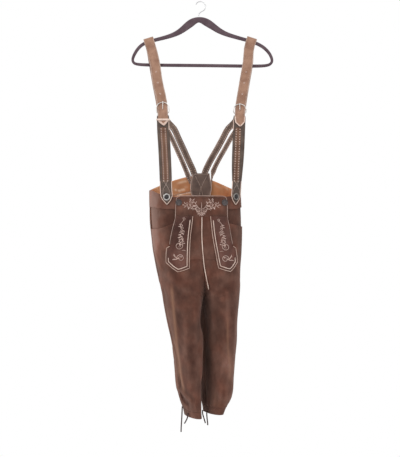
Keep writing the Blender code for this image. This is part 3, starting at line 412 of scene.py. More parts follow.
# The insides of the legs swell towards each other as they hang, the left one in front of the right, so that
# no daylight shows between them: metres out, half width in millimetres, and its line in depth and height.
# The left leg's comes first, then the right leg's.
SWELLS = {
    False: ("right", 0.0085, 30, [(-0.052, -1.030), (-0.054, -1.140)]),
    True: ("left", 0.0088, 32, [(0.050, -0.985), (0.052, -1.232)]),
}
# The tops of the left and the right knee band.
BAND_TOPS = {False: -1.262, True: -1.252}
# A slight rise and fall all over the suede: turns round the leg, rise with height, start, and size in metres.
RIPPLES = [(5, 31, 0.3, 0.00035), (8, -47, 1.7, 0.0003), (13, 23, 4.1, 0.0002), (3, 71, 2.2, 0.00025)]
# Fold heights up to this, in metres, are painted into the suede's colour as a painted highlight on ridges and
# painted shade in troughs.
FULL_RELIEF = 0.003


def fold_relief(points, right):
    """How far each point is pushed out by the folds, in metres."""
    away = outward(points, right)
    pushed = np.zeros(len(points))
    for facing, height, half, line in FOLDS:
        if facing == ("left" if right else "right"):
            continue
        if facing in ("front", "back") and right != (line[0][0] > 0) and line[0][1] < -0.68:
            continue
        way = FACING[facing]
        shows = smooth(away[:, 0] * way[0] + away[:, 1] * way[1], 0.05, 0.5)
        across = points[:, 0] if way[0] == 0 else points[:, 1]
        at = np.stack([across, points[:, 2]], axis=1)
        nearest = np.full(len(points), 9.0)
        signed = np.zeros(len(points))
        for a, b in zip(np.array(line[:-1]), np.array(line[1:])):
            run = b - a
            t = np.clip(((at - a) @ run) / (run @ run), 0, 1)
            offset = at - a - t[:, None] * run
            distance = np.linalg.norm(offset, axis=1)
            closer = distance < nearest
            turn = np.sign(run[0] * offset[:, 1] - run[1] * offset[:, 0])
            signed[closer] = (turn * distance)[closer]
            nearest = np.minimum(nearest, distance)
        half *= 0.001
        ridge = np.exp(-((nearest / half) ** 2))
        trough = np.exp(-(((signed - 1.7 * half) / half) ** 2))
        near_line = np.exp(-((np.maximum(nearest - 2 * half, 0) / half) ** 2))
        pushed += shows * height * 0.001 * (ridge - 0.5 * trough * near_line)
    # Gathers above the knee bands, uneven round the leg, and the ripples.
    turn = np.arctan2(away[:, 1], away[:, 0])
    band_z = BAND_TOPS[right]
    gather = np.exp(-(((points[:, 2] - band_z - 0.018) / 0.022) ** 2))
    gather = gather * smooth(points[:, 2], band_z, band_z + 0.010)
    pushed += gather * 0.0013 * (np.sin(17 * turn + 3 * np.sin(2 * turn)) + 0.6 * np.sin(29 * turn + 1.3))
    facing, out, half, line = SWELLS[right]
    pushed += out * closeness(points, right, facing, half, line)
    for kx, kz, shift, size in RIPPLES:
        pushed += size * np.sin(kx * turn + kz * points[:, 2] + shift)
    above = smooth(points[:, 2], -0.70, -0.62)
    return pushed * (1 - 0.75 * above)


def lay_folds(made, right):
    """Moves a piece by the folds, less beside the centre back seam; gives back how far each place rose."""
    points = spots(made)
    pushed = fold_relief(points, right)
    centre_seam = smooth(np.abs(points[:, 0] - 0.003), 0.004, 0.030)
    pushed *= np.where(points[:, 2] > -0.915, centre_seam, 1.0)
    moved = points + outward(points, right) * pushed[:, None]
    made.data.vertices.foreach_set("co", moved.ravel())
    return np.clip(pushed, -FULL_RELIEF, FULL_RELIEF)


# Bleached streaks: facing, strength, half width in millimetres and line, as for the folds.
STREAKS = [
    ("front", 0.75, 4,
     [(-0.089, -0.865), (-0.081, -0.960), (-0.073, -1.050), (-0.061, -1.150), (-0.048, -1.215)]),
    ("front", 0.50, 7, [(-0.082, -1.020), (-0.074, -1.090), (-0.062, -1.180)]),
    ("front", 0.45, 3, [(0.082, -0.960), (0.083, -1.060), (0.090, -1.130), (0.090, -1.180)]),
    ("front", 0.30, 3, [(0.044, -1.185), (0.046, -1.240)]),
    ("front", 0.30, 8, [(-0.060, -1.236), (-0.034, -1.266)]),
    ("front", 0.25, 9, [(0.020, -1.236), (0.078, -1.240)]),
    ("back", 0.40, 22, [(-0.074, -0.790), (-0.064, -0.890)]),
    ("back", 0.40, 22, [(0.060, -0.790), (0.060, -0.890)]),
    ("back", 0.30, 9, [(-0.062, -0.930), (-0.048, -1.190)]),
    ("back", 0.30, 9, [(0.066, -0.930), (0.058, -1.190)]),
    ("left", 0.35, 7, [(0.020, -0.880), (0.014, -1.080), (0.006, -1.220)]),
    ("right", 0.35, 7, [(0.030, -0.880), (0.036, -1.080), (0.034, -1.210)]),
]
# Patches painted paler, or darker where the strength is below 0, given in the same way: painted highlights
# where light falls, as on the left hip; painted shade where it doesn't, as in the deep knee trough; a few
# only lift the tone of the flap and strips.
PAINTED_LIGHT_PATCHES = [
    ("front", 1.60, 34, [(-0.156, -0.590), (-0.148, -0.660), (-0.142, -0.730)]),
    ("front", 0.45, 22, [(-0.142, -0.740), (-0.124, -0.830), (-0.100, -0.900)]),
    ("front", -0.55, 15, [(-0.132, -0.900), (-0.116, -0.990), (-0.102, -1.080)]),
    ("front", 0.80, 16, [(-0.066, -0.775), (-0.058, -0.830)]),
    ("front", 0.75, 12, [(-0.058, -0.640), (0.000, -0.615), (0.062, -0.640)]),
    ("front", 0.35, 30, [(0.000, -0.660), (0.000, -0.780)]),
    ("front", 0.35, 16, [(0.100, -0.620), (0.106, -0.780)]),
    ("front", 0.45, 30, [(0.056, -0.880), (0.062, -1.040), (0.066, -1.220)]),
    ("front", 0.35, 26, [(-0.050, -0.860), (-0.016, -0.960)]),
    ("front", -1.10, 6, [(-0.074, -1.202), (-0.056, -1.220), (-0.041, -1.237)]),
    ("front", 0.50, 9, [(-0.066, -1.236), (-0.050, -1.252)]),
    ("front", -0.45, 22, [(-0.100, -0.680), (-0.088, -0.740)]),
    ("front", -0.35, 20, [(-0.040, -1.080), (-0.044, -1.180)]),
    ("front", -0.40, 10, [(0.052, -1.120), (0.058, -1.190)]),
    ("back", 0.55, 40, [(-0.080, -0.660), (-0.060, -0.860)]),
    ("back", 0.55, 40, [(0.066, -0.660), (0.060, -0.860)]),
    ("left", 0.30, 30, [(0.016, -0.640), (0.020, -0.860), (0.014, -1.180)]),
    ("right", 0.50, 34, [(0.020, -0.640), (0.022, -0.860), (0.026, -1.180)]),
]
# Painted highlights along the creases in the pale flesh side that shows inside the back of the waistband.
CREASE_HIGHLIGHTS = [
    ("back", 0.80, 1.8,
     [(-0.092, -0.5760), (-0.0872, -0.5776), (-0.0649, -0.5832), (-0.0515, -0.5776), (-0.040, -0.5660)]),
    ("back", 0.75, 2.2, [(-0.090, -0.5960), (-0.0515, -0.5942), (-0.024, -0.5850)]),
    ("back", 0.55, 1.8, [(-0.080, -0.5590), (-0.0515, -0.5541), (-0.036, -0.5470)]),
    ("back", 0.40, 1.6, [(0.042, -0.5630), (0.069, -0.5732), (0.096, -0.5790)]),
]


def lay_wear_and_painted_light(made, right, pushed=0.0):
    """Stores how worn each place is, its painted light and shade from fold heights and patches, and its
    painted crease highlights inside.
    """
    points = spots(made)
    worn, crease_highlight = np.zeros(len(points)), np.zeros(len(points))
    painted_light_and_shade = 0.5 + pushed / (2 * FULL_RELIEF) + np.zeros(len(points))
    for facing, strength, half, line in STREAKS:
        worn = np.maximum(worn, strength * closeness(points, right, facing, half, line, 0.035))
    for facing, strength, half, line in CREASE_HIGHLIGHTS:
        crease_highlight = np.maximum(crease_highlight, strength * closeness(points, right, facing, half, line, 0.012))
    for facing, strength, half, line in PAINTED_LIGHT_PATCHES:
        painted_light_and_shade += strength * closeness(points, right, facing, half, line)
    for name, values in (("worn", worn), ("painted_light_and_shade", painted_light_and_shade), ("crease_highlight", crease_highlight)):
        paint = made.data.attributes.new(name, "FLOAT", "POINT")
        paint.data.foreach_set("value", values)
    made.data.update()


# The suede's three sizes of cloud: scale, detail, and stretch along x, y and z.
CLOUDS = [(9.0, 3.0, (1, 1, 0.6)), (46.0, 5.0, (1, 1, 0.7)), (620.0, 3.0, (1, 1, 1))]


def suede(name, deep, middle, pale, bleach_and_highlight, highlight_tone, wear="worn"):
    """Brushed suede: cloudy brown in four tones, with a painted highlight on ridges and lit patches and
    painted shade in troughs, paler on faded streaks (on the tan flesh side, painted crease highlights), with
    a soft nap.
    """
    made, tree, nap, at = start_material(name)
    sets = []
    for scale, detail, stretch in CLOUDS:
        stretched = tree.nodes.new("ShaderNodeMapping")
        stretched.inputs["Scale"].default_value = stretch
        cloud = noise_in(tree, scale, detail)
        cloud.inputs["Roughness"].default_value = 0.6
        tree.links.new(at.outputs["Object"], stretched.inputs["Vector"])
        tree.links.new(stretched.outputs[0], cloud.inputs["Vector"])
        sets.append(cloud)
    painted_light_and_shade = tree.nodes.new("ShaderNodeAttribute")
    painted_light_and_shade.attribute_name = "painted_light_and_shade"
    worn = tree.nodes.new("ShaderNodeAttribute")
    worn.attribute_name = wear

    def sum_of(a, b, share):
        """A share of one value, with another value or a number added."""
        step = tree.nodes.new("ShaderNodeMath")
        step.operation = "MULTIPLY_ADD"
        tree.links.new(a, step.inputs[0])
        step.inputs[1].default_value = share
        if hasattr(b, "node"):
            tree.links.new(b, step.inputs[2])
        else:
            step.inputs[2].default_value = b
        return step.outputs[0]

    # The three sizes of cloud and the painted light and shade from fold heights and patches each add a share
    # to how pale a place is.
    tone = sum_of(sets[0].outputs["Fac"], -0.64, 1.05)
    tone = sum_of(sets[1].outputs["Fac"], tone, 0.66)
    tone = sum_of(sets[2].outputs["Fac"], tone, 0.14)
    tone = sum_of(painted_light_and_shade.outputs["Fac"], tone, 0.30)
    # The palest stop is the painted highlight colour.
    shades = ramp_in(tree, (0.16, deep), (1.0, highlight_tone), (0.46, middle), (0.74, pale))
    tree.links.new(tone, shades.inputs[0])
    # Patches where the dye runs redder.
    dye = noise_in(tree, 21.0, 3.0)
    uneven = spread_in(tree, within=(0.42, 0.66))
    redder = mix_in(tree, (1.13, 0.96, 0.90), "MULTIPLY")
    lay_on_object(tree, at, dye)
    tree.links.new(dye.outputs["Fac"], uneven.inputs["Value"])
    tree.links.new(uneven.outputs["Result"], redder.inputs[SHARE])
    tree.links.new(shades.outputs[0], redder.inputs[FIRST])
    # Paler streaks of wear; on the tan flesh side the same mix lays its painted crease highlights.
    bleach_and_highlight_mix = mix_in(tree, bleach_and_highlight)
    tree.links.new(worn.outputs["Fac"], bleach_and_highlight_mix.inputs[SHARE])
    tree.links.new(redder.outputs[MIXED], bleach_and_highlight_mix.inputs[FIRST])
    tree.links.new(bleach_and_highlight_mix.outputs[MIXED], nap.inputs["Base Color"])
    height = sum_of(sets[2].outputs["Fac"], 0.0, 1.0)
    height = sum_of(sets[1].outputs["Fac"], height, 1.3)
    fibres = bump_in(tree, 0.35, 0.0012)
    tree.links.new(height, fibres.inputs["Height"])
    tree.links.new(fibres.outputs[0], nap.inputs["Normal"])
    nap.inputs["Roughness"].default_value = 0.96
    nap.inputs["Specular IOR Level"].default_value = 0.08
    nap.inputs["Sheen Weight"].default_value = 0.24
    nap.inputs["Sheen Roughness"].default_value = 0.55
    nap.inputs["Sheen Tint"].default_value = (0.72, 0.50, 0.42, 1)
    return made


brown = suede("brown suede", (0.055, 0.024, 0.018), (0.104, 0.049, 0.036), (0.172, 0.087, 0.065),
              (0.270, 0.140, 0.088), (0.245, 0.148, 0.122))
# A darker copy of the brown suede: painted shade for the insides of the legs and behind the pocket mouths.
shaded = suede("shaded suede", (0.040, 0.018, 0.014), (0.074, 0.036, 0.027), (0.125, 0.064, 0.048),
               (0.200, 0.100, 0.060), (0.200, 0.120, 0.098))
# The tan flesh side's two palest colours are painted highlights on its creases.
inside_tan = suede("tan flesh side", (0.46, 0.205, 0.100), (0.60, 0.285, 0.140), (0.74, 0.400, 0.225),
                   (0.92, 0.700, 0.520), (0.80, 0.480, 0.300), "crease_highlight")
# The tan flesh side is painted into shade inside the garment: full colour down to one height, and sunk to a
# dark brown painted shade at the other.
TAN_BRIGHT_TO = -0.66
TAN_DOWN_TO = -0.78


def darken_downwards(made, full_above, gone_below, dark):
    """Lets a material's colour sink into a dark one between two heights, as the light fails inside."""
    tree = made.node_tree
    nap = tree.nodes["Principled BSDF"]
    lit = nap.inputs["Base Color"].links[0].from_socket
    at = tree.nodes.new("ShaderNodeTexCoord")
    split = tree.nodes.new("ShaderNodeSeparateXYZ")
    depth = spread_in(tree, within=(full_above, gone_below))
    depth.interpolation_type = "SMOOTHSTEP"
    sinking = mix_in(tree, dark)
    tree.links.new(at.outputs["Object"], split.inputs[0])
    tree.links.new(split.outputs["Z"], depth.inputs["Value"])
    tree.links.new(depth.outputs["Result"], sinking.inputs[SHARE])
    tree.links.new(lit, sinking.inputs[FIRST])
    tree.links.new(sinking.outputs[MIXED], nap.inputs["Base Color"])


darken_downwards(inside_tan, TAN_BRIGHT_TO, TAN_DOWN_TO, (0.080, 0.038, 0.029))


def line_with_tan(made, facing_in=0.3):
    """Gives the faces that look into the garment the pale flesh side, and lower down the shaded suede as
    painted shade.
    """
    made.data.materials.append(inside_tan)
    made.data.materials.append(shaded)
    for face in made.data.polygons:
        away = outward(np.array([face.center]), face.center.x > 0)[0]
        if away[0] * face.normal.x + away[1] * face.normal.y < -facing_in:
            face.material_index = 1 if face.center.z > TAN_DOWN_TO else 2


CLOTH = {}
# Each panel's cut: widest, longest, and its area in square metres.
PANELS = {
    "front_left": (0.276, 0.620, 0.1265), "front_right": (0.278, 0.610, 0.1305),
    "back_left": (0.276, 0.680, 0.1454), "back_right": (0.277, 0.670, 0.1463),
}
for node, (width, length, area) in PANELS.items():
    right = node.endswith("right")
    panel = piece_from(node, "suede_" + node, 2)
    lay_wear_and_painted_light(panel, right, lay_folds(panel, right))
    panel.data.materials.append(brown)
    line_with_tan(panel)
    CLOTH[node] = panel


def draw_together(one, other, kept=0.0003, widest=0.0024, reach=0.010):
    """Closes a seam that smoothing has opened: the cut edges move together to within a hair's breadth."""
    trees = [surface_of(one), surface_of(other)]
    for made, tree in ((one, trees[1]), (other, trees[0])):
        near = []
        for vertex in made.data.vertices:
            spot, _, _, far = tree.find_nearest(vertex.co, reach)
            if spot is not None:
                near.append((vertex, spot, far, round(vertex.co.z / 0.008)))
        gaps = {}
        for _, _, far, level in near:
            gaps[level] = min(far, gaps.get(level, reach))
        for vertex, spot, far, level in near:
            if kept < gaps[level] < widest:
                share = 1 - smooth(far, gaps[level], reach)
                vertex.co += (spot - vertex.co).normalized() * float(share) * (gaps[level] - kept) / 2


draw_together(CLOTH["back_left"], CLOTH["back_right"])


# ---------------------------------------------------------------- waistband, pockets and knee bands
# The waistband is two plies of the same suede, cut in two fronts and a shaped back. A facing in shaded suede,
# painted shade, shows behind each slanted pocket mouth, and a narrow band holds the gathers at each knee.
BANDS = {
    "waistband_front_left": (0.222, 0.060, 0.0101), "waistband_front_right": (0.206, 0.060, 0.0094),
    "waistband_back": (0.374, 0.102, 0.0228),
    "knee_band_left": (0.310, 0.024, 0.0073), "knee_band_right": (0.336, 0.024, 0.0079),
}
for node, (width, length, area) in BANDS.items():
    right = node.endswith("right")
    at_knee = "knee" in node
    band = piece_from(node, "suede_" + node, 2)
    lay_wear_and_painted_light(band, right, lay_folds(band, right) if at_knee else 0.0)
    band.data.materials.append(brown)
    line_with_tan(band)
    CLOTH[node] = band

for side in ("left", "right"):
    facing = piece_from("pocket_facing_" + side, "suede_facing_" + side, 2)
    lay_wear_and_painted_light(facing, side == "right")
    # The facings take the shaded suede: painted shade inside the pocket mouths.
    facing.data.materials.append(shaded)


# ---------------------------------------------------------------- the drop front
# A buttoned flap of the same suede, its lower edge pared thin and sewn down at the fold, with two
# embroidered strips lying on it. The strips end in a step outwards and a point on each thigh.
flap = piece_from("flap", "suede_flap", 2)
lay_wear_and_painted_light(flap, True)
flap.data.materials.append(brown)
CLOTH["flap"] = flap
plum = suede("plum suede", (0.054, 0.024, 0.020), (0.104, 0.050, 0.041), (0.168, 0.086, 0.070),
             (0.300, 0.150, 0.090), (0.250, 0.150, 0.126))
for side in ("left", "right"):
    strip = piece_from("flap_strip_" + side, "suede_strip_" + side, 2)
    lay_wear_and_painted_light(strip, side == "right")
    strip.data.materials.append(plum)
    CLOTH["strip_" + side] = strip


# ---------------------------------------------------------------- seams and rows of stitches
# Lockstitched seams in brown and cream thread, about three stitches to the centimetre. Every stitch is a
# short rounded thread that dips into the leather at both its ends.
LOOKS_FROM = {"front": (0, -1, 0), "back": (0, 1, 0), "left": (-1, 0, 0), "right": (1, 0, 0)}


def touch(tree, across, up, facing="front"):
    """The point and the outward direction of a skin seen from one side, at a place across and up."""
    way = Vector(LOOKS_FROM[facing])
    # A ray that meets an edge exactly can miss, so two others are tried beside it.
    for nudge in (0.0, 0.00013, -0.00017):
        a, b = across + nudge, up + nudge
        start = Vector((a, 0, b)) if way.x == 0 else Vector((0, a, b))
        point, normal, _, _ = tree.ray_cast(start + way * 0.5, -way)
        if point is not None:
            return np.array(point), np.array(normal if normal.dot(way) > 0 else -normal)
    return None, None


def laid_line(tree, line, step, facing="front", lift=0.0):
    """Even points along a line given across and up, laid on a skin, with their outward directions."""
    line = np.array(line, float)
    run = np.concatenate([[0], np.cumsum(np.linalg.norm(np.diff(line, axis=0), axis=1))])
    count = max(2, int(round(run[-1] / step)) + 1)
    points, normals = [], []
    for s in np.linspace(0, run[-1], count):
        point, normal = touch(tree, np.interp(s, run, line[:, 0]), np.interp(s, run, line[:, 1]), facing)
        if point is not None:
            points.append(point + normal * lift)
            normals.append(normal)
    return np.array(points), np.array(normals)


def sewn(name, stitches, thread, thick=0.00042):
    """One mesh of stitches: each has a middle, a half run, an outward direction and maybe a thickness."""
    middles, runs, ups = (np.array([s[k] for s in stitches]) for k in range(3))
    length = np.linalg.norm(runs, axis=1)[:, None]
    along = runs / length
    over = ups - along * (ups * along).sum(1)[:, None]
    over /= np.linalg.norm(over, axis=1)[:, None]
    aside = np.cross(along, over)
    wide = np.array([s[3] if len(s) > 3 else thick for s in stitches])[:, None]
    rings = [(-1.0, 0.0, -0.5), (-0.62, 1.0, 0.35), (0.62, 1.0, 0.35), (1.0, 0.0, -0.5)]
    sides = 5
    points = []
    for share, size, height in rings:
        base = middles + runs * share + over * wide * height
        if size == 0:
            points.append(base[:, None])
            continue
        turn = np.arange(sides) * 2 * math.pi / sides
        ring = base[:, None] + size * wide[:, None] * (
            aside[:, None] * np.cos(turn)[None, :, None] + over[:, None] * 0.8 * np.sin(turn)[None, :, None]
        )
        points.append(ring)
    points = np.concatenate(points, axis=1)
    faces = []
    for j in range(sides):
        k = (j + 1) % sides
        faces.append((0, 1 + k, 1 + j))
        faces.append((1 + j, 1 + k, 1 + sides + k))
        faces.append((1 + j, 1 + sides + k, 1 + sides + j))
        faces.append((1 + sides + j, 1 + sides + k, 1 + 2 * sides))
    per = points.shape[1]
    faces = np.array(faces)
    every = (faces[None] + per * np.arange(len(stitches))[:, None, None]).reshape(-1, 3)
    mesh = bpy.data.meshes.new(name)
    mesh.from_pydata(points.reshape(-1, 3).tolist(), [], every.tolist())
    mesh.polygons.foreach_set("use_smooth", [True] * len(mesh.polygons))
    mesh.update()
    made = bpy.data.objects.new(name, mesh)
    scene.collection.objects.link(made)
    made.data.materials.append(thread)
    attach(made, "root")
    return made


def row(tree, line, pitch=0.0036, stitch=0.0026, facing="front", lift=0.0002):
    """A straight row of stitches along a line."""
    points, normals = laid_line(tree, line, pitch, facing, lift)
    found = []
    for i in range(len(points) - 1):
        way = points[i + 1] - points[i]
        gap = np.linalg.norm(way)
        if gap < 2.5 * pitch:
            found.append(((points[i] + points[i + 1]) / 2, way / gap * stitch / 2, normals[i]))
    return found


def thread_of(name, colour, dark):
    """Twisted sewing thread: fine slanted strands, tinted unevenly from dark to light, with a soft lustre."""
    made, tree, yarn, at = start_material(name)
    strands = tree.nodes.new("ShaderNodeTexWave")
    strands.inputs["Scale"].default_value = 420.0
    strands.inputs["Distortion"].default_value = 2.5
    tints = noise_in(tree, 70.0)
    mixing = mix_in(tree, colour)
    mixing.inputs[FIRST].default_value = (*dark, 1)
    even = spread_in(tree, within=(0.28, 0.62))
    bumps = bump_in(tree, 0.3, 0.0004)
    lay_on_object(tree, at, strands, tints)
    tree.links.new(tints.outputs["Fac"], even.inputs["Value"])
    tree.links.new(even.outputs["Result"], mixing.inputs[SHARE])
    tree.links.new(mixing.outputs[MIXED], yarn.inputs["Base Color"])
    tree.links.new(strands.outputs["Fac"], bumps.inputs["Height"])
    tree.links.new(bumps.outputs[0], yarn.inputs["Normal"])
    yarn.inputs["Roughness"].default_value = 0.72
    yarn.inputs["Specular IOR Level"].default_value = 0.25
    yarn.inputs["Sheen Weight"].default_value = 0.2
    return made


brown_thread = thread_of("brown thread", (0.190, 0.100, 0.072), (0.110, 0.052, 0.038))
cream_thread = thread_of("cream thread", (0.80, 0.62, 0.54), (0.58, 0.40, 0.33))
body_skin = surface_of(*(CLOTH[n] for n in CLOTH if not n.startswith(("flap", "strip", "knee"))))
leg_skins = {s: surface_of(CLOTH["front_" + s], CLOTH["back_" + s]) for s in ("left", "right")}
seams = []
# Side seams: twin rows either side of the join, felt for from the side, so given in depth and height.
SIDE_SEAM = {
    "left": [
        (-0.016, -0.650), (-0.020, -0.800), (-0.025, -0.950), (-0.024, -1.060), (-0.019, -1.180),
        (-0.014, -1.255),
    ],
    "right": [
        (0.015, -0.650), (0.020, -0.800), (0.026, -0.950), (0.028, -1.060), (0.029, -1.180), (0.024, -1.245),
    ],
}
for side, line in SIDE_SEAM.items():
    for shift in (-0.0035, 0.0035):
        seams += row(leg_skins[side], [(y + shift, z) for y, z in line], facing=side)
# The seam down the middle of the seat.
SEAT = [(-0.021, -0.600), (-0.024, -0.700), (-0.033, -0.800), (-0.030, -0.860)]
for shift in (-0.004, 0.004):
    seams += row(body_skin, [(x + shift, z) for x, z in SEAT], facing="back")
# The yoke seam under the back waistband: two rows, each in two halves that meet behind the seat seam.
YOKE = [
    [(-0.150, -0.6405), (-0.120, -0.628), (-0.080, -0.605), (-0.022, -0.5905)],
    [(-0.022, -0.5905), (0.040, -0.597), (0.080, -0.616), (0.118, -0.6405)],
]
for drop in (0.0, 0.006):
    for line in YOKE:
        seams += row(body_skin, [(x, z - drop) for x, z in line], facing="back")
sewn("stitches_seams", seams, brown_thread)


# ---------------------------------------------------------------- piping on the drop front
# Rolled cords of cream lamb leather, about 2 mm thick, edge the flap and both strips. A second, finer cord
# runs beside the first on the strips, and one more runs down the middle and on along the right leg.
cream = leather("cream piping leather", (0.60, 0.43, 0.36), (0.42, 0.27, 0.215), 0.68, 900.0, 0.12)
pale_cream = leather("pale cream leather", (0.82, 0.64, 0.55), (0.66, 0.48, 0.40), 0.62, 900.0, 0.1)
rose = leather("rose brown piping leather", (0.44, 0.305, 0.262), (0.31, 0.205, 0.172), 0.7, 900.0, 0.12)
for node, look in (("flap_piping", rose), ("strip_piping_left", cream), ("strip_piping_right", cream),
                   ("centre_welt", pale_cream)):
    edging = piece_from(node, "cord_" + node, 0, 0)
    edging.data.materials.append(look)


def cord_on(name, lines, radius, look, sides=8):
    """Rolled cords in one mesh, each along a row of points, closed at both ends."""
    points, faces = [], []
    for line in lines:
        line = np.asarray(line)
        way = np.gradient(line, axis=0)
        way /= np.linalg.norm(way, axis=1)[:, None]
        up = np.cross(way, (0.13, 0.2, 1.0) if abs(way[:, 2]).mean() < 0.8 else (1.0, 0.2, 0.1))
        up /= np.linalg.norm(up, axis=1)[:, None]
        aside = np.cross(way, up)
        start = len(points)
        for i, (p, u, a) in enumerate(zip(line, up, aside)):
            size = radius * (0.55 if i in (0, len(line) - 1) else 1.0)
            for j in range(sides):
                turn = j * 2 * math.pi / sides
                points.append(p + size * (u * math.cos(turn) + a * math.sin(turn)))
        for i in range(len(line) - 1):
            for j in range(sides):
                k = (j + 1) % sides
                a, b = start + i * sides, start + (i + 1) * sides
                faces.append((a + j, a + k, b + k, b + j))
        faces.append(tuple(start + j for j in reversed(range(sides))))
        faces.append(tuple(start + (len(line) - 1) * sides + j for j in range(sides)))
    mesh = bpy.data.meshes.new(name)
    mesh.from_pydata([tuple(p) for p in points], [], faces)
    made = bpy.data.objects.new(name, mesh)
    scene.collection.objects.link(made)
    face_outwards(made)
    bpy.ops.object.shade_smooth_by_angle(angle=math.radians(60))
    made.data.materials.append(look)
    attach(made, "root")
    return made


def outline_of(made, step=0.0015):
    """The edge of a piece as seen from the front: even points across and up, in order all round."""
    mesh = made.data
    counts, seen = {}, {}
    for face in mesh.polygons:
        if face.normal.y > -0.35:
            continue
        for edge in face.edge_keys:
            counts[edge] = counts.get(edge, 0) + 1
    for a, b in (edge for edge, n in counts.items() if n == 1):
        seen.setdefault(a, []).append(b)
        seen.setdefault(b, []).append(a)
    loops = []
    while seen:
        first = next(iter(seen))
        loop, at = [first], first
        while True:
            following = seen[at] if len(loop) == 1 else seen.get(at, [])
            if len(loop) > 1:
                following = [v for v in following if v in seen and v not in loop[-2:]]
            if len(loop) > 2:
                following = [v for v in following if v == first or v not in loop]
            if not following or following[0] == first:
                break
            at = following[0]
            loop.append(at)
        for v in loop:
            seen.pop(v, None)
        loops.append(loop)
    loop = max(loops, key=len)
    line = np.array([(mesh.vertices[v].co.x, mesh.vertices[v].co.z) for v in loop + loop[:1]])
    run = np.concatenate([[0], np.cumsum(np.linalg.norm(np.diff(line, axis=0), axis=1))])
    s = np.arange(0, run[-1], step)
    return np.stack([np.interp(s, run, line[:, 0]), np.interp(s, run, line[:, 1])], axis=1)


def inside_of(loop, distance):
    """The outline moved inwards by a distance; places too near a corner's other side are left out."""
    way = np.roll(loop, -2, axis=0) - np.roll(loop, 2, axis=0)
    way /= np.maximum(np.linalg.norm(way, axis=1), 1e-9)[:, None]
    area = np.sum(loop[:, 0] * np.roll(loop[:, 1], -1) - np.roll(loop[:, 0], -1) * loop[:, 1])
    inward = np.stack([-way[:, 1], way[:, 0]], axis=1) * np.sign(area)
    moved = loop + inward * distance
    near = np.array([np.min(np.linalg.norm(loop - p, axis=1)) for p in moved])
    return moved[near > 0.96 * distance]


def stretches(points, wanted, gap=0.008):
    """Splits the wanted places of a closed outline into unbroken stretches."""
    keep = [bool(wanted(p)) for p in points]
    start = next((i for i in range(len(points)) if not keep[i - 1] and keep[i]), 0)
    order = [(start + i) % len(points) for i in range(len(points))]
    found, run = [], []
    for i in order:
        if keep[i] and (not run or np.linalg.norm(points[i] - run[-1]) < gap):
            run.append(points[i])
        else:
            if len(run) > 4:
                found.append(np.array(run))
            run = [points[i]] if keep[i] else []
    if len(run) > 4:
        found.append(np.array(run))
    return found


front_skin = surface_of(CLOTH["flap"], CLOTH["strip_left"], CLOTH["strip_right"])
second, edge_rows = [], []
SECOND_CORD = 0.0054
# Rows of fine stitches along edges: how far apart they start, and how long each is.
FINE_ROW = (0.0034, 0.0024)
for side in ("left", "right"):
    edge = outline_of(CLOTH["strip_" + side])

    def beside(p, reach):
        """Whether a place is along the strip's inner edge or its pointed foot, not its top or outer edge."""
        level = edge[np.abs(edge[:, 1] - p[1]) < 0.003]
        if len(level) and abs(p[0]) - np.abs(level[:, 0]).min() < reach + 0.004:
            return p[1] < -0.676
        return p[1] < -0.790

    for line in stretches(inside_of(edge, SECOND_CORD), lambda p: beside(p, SECOND_CORD)):
        second.append(laid_line(front_skin, line, 0.0024, lift=0.0004)[0])
    for distance in (SECOND_CORD / 2, SECOND_CORD + 0.0030):
        for line in stretches(inside_of(edge, distance), lambda p: beside(p, distance)):
            edge_rows += row(front_skin, line, *FINE_ROW)
cord_on("cord_strips_inner", second, 0.00115, pale_cream)
flap_edge = outline_of(CLOTH["flap"])
for line in stretches(inside_of(flap_edge, 0.0032), lambda p: p[1] > -0.752):
    edge_rows += row(front_skin, line, *FINE_ROW)
# The waist piece of the flap ends in a cross seam just above the strips.
for up in (-0.6648, -0.6618):
    edge_rows += row(front_skin, [(-0.071, up), (0.077, up)], *FINE_ROW)
# A row on each side of the cord down the middle.
for across in (0.0005 - 0.0036, 0.0005 + 0.0042):
    edge_rows += row(front_skin, [(across, -0.670), (across, -0.772)], *FINE_ROW)
sewn("stitches_flap_edges", edge_rows, brown_thread)


# ---------------------------------------------------------------- embroidery
# Satin stitch in pinkish cream silk: two leafy branches over a spray on the flap, and on each strip a
# climbing vine with leaves, a large curl below it, and a second curl with two long leaves near the point.
silk = thread_of("embroidery silk", (0.70, 0.515, 0.45), (0.48, 0.325, 0.275))


def curve_through(points, step=0.0006):
    """A smooth run of places through a few given ones."""
    points = np.array(points, float)
    knots = np.concatenate([[0], np.cumsum(np.linalg.norm(np.diff(points, axis=0), axis=1))])
    slopes = np.gradient(points, knots, axis=0)
    found = []
    for i in range(len(points) - 1):
        span = knots[i + 1] - knots[i]
        for t in np.linspace(0, 1, max(2, int(span / step)), endpoint=False):
            a, b, c, d = 2 * t**3 - 3 * t**2 + 1, t**3 - 2 * t**2 + t, -2 * t**3 + 3 * t**2, t**3 - t**2
            found.append(a * points[i] + b * span * slopes[i] + c * points[i + 1] + d * span * slopes[i + 1])
    return np.array(found + [points[-1]])


